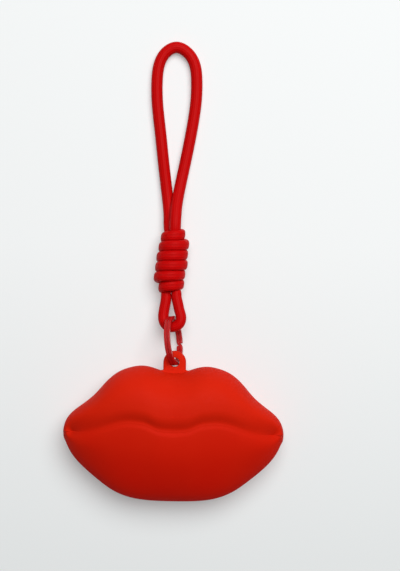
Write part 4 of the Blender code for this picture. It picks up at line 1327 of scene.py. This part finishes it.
def floor_finish():
    """Pale paper with painted shade that greys it towards the bottom of the picture, away from the
    lamp, and that turns into the backdrop far off."""
    made = Finish("pale_floor", (0.86, 0.87, 0.87), 0.9)
    # Painted shade: the floor greys towards the bottom of the picture, away from the lamp.
    painted_shade_downwards = made.spread(made.up_picture(), 0.09, -0.09)
    off = made.node("ShaderNodeVectorMath", {"Vector": made.place}, operation="LENGTH").outputs["Value"]
    far = made.spread(off, *FLOOR_FADE)
    paper_and_painted_shade = made.between(painted_shade_downwards, (0.915, 0.935, 0.935), (0.82, 0.845, 0.845))
    paper_and_painted_shade = made.between(far, paper_and_painted_shade, BACKDROP_COLOUR)
    made.link(paper_and_painted_shade, "Base Color")
    made.set("Specular IOR Level", 0.0)
    lit = made.node("ShaderNodeEmission", {"Color": paper_and_painted_shade, "Strength": 1.0}).outputs[0]
    own = made.spread(far, 0.0, 1.0, FLOOR_OWN_LIGHT, 1.0)
    seen = made.math("MULTIPLY", made.node("ShaderNodeLightPath").outputs["Is Camera Ray"], own)
    both = made.node("ShaderNodeMixShader", {0: seen, 1: made.shader.outputs[0], 2: lit}).outputs[0]
    made.end_in(both, "Material Output")
    return made.material


# Stage


def make_camera():
    data = bpy.data.cameras.new("camera")
    data.sensor_fit = "VERTICAL"
    data.sensor_height = CAMERA_SENSOR
    data.lens = CAMERA_LENS
    data.clip_start = CAMERA_CLIP
    camera = add_object("camera", data)
    camera.location = CAMERA_PLACE
    camera.rotation_euler = (0.0, 0.0, PHOTO_TURN)
    bpy.context.scene.camera = camera


def make_stage():
    """The floor, one large soft lamp and a faint fill from all round."""
    side = FLOOR_HALF_WIDTH
    mesh = plate(mirrored([(-side, -side), (side, -side)]), -FLOOR_THICKNESS, 0.0)
    mesh.materials.append(floor_finish())
    add_object("floor", mesh)
    data = bpy.data.lights.new("key", "AREA")
    data.shape = "DISK"
    data.size = KEY_SIZE
    data.energy = KEY_POWER
    key = add_object("key", data)
    key.location = KEY_PLACE
    key.rotation_euler = (-Vector(KEY_PLACE)).to_track_quat("-Z", "Y").to_euler()
    world = bpy.data.worlds.new("studio")
    world.use_nodes = True
    nodes = Nodes(world.node_tree)
    fill = nodes.tree.nodes["Background"]
    fill.inputs["Color"].default_value = (1.0, 1.0, 1.0, 1.0)
    fill.inputs["Strength"].default_value = FILL_POWER
    seen = nodes.node("ShaderNodeBackground", {"Color": (*BACKDROP_COLOUR, 1.0)}).outputs[0]
    paths = nodes.node("ShaderNodeLightPath").outputs
    either = nodes.math("MAXIMUM", paths["Is Camera Ray"], paths["Is Glossy Ray"])
    mix = nodes.node("ShaderNodeMixShader", {0: either, 1: fill.outputs[0], 2: seen}).outputs[0]
    nodes.end_in(mix, "World Output")
    bpy.context.scene.world = world
    bpy.context.scene.view_settings.view_transform = "Standard"


make_camera()
make_strap(cord_finish())
silicone = silicone_finish()
lacquer = lacquer_finish()
bend, hollow = make_purse(silicone)
make_zip(hollow, tape_finish(), coil_finish(), lacquer)
make_ring(lacquer)
make_stage()
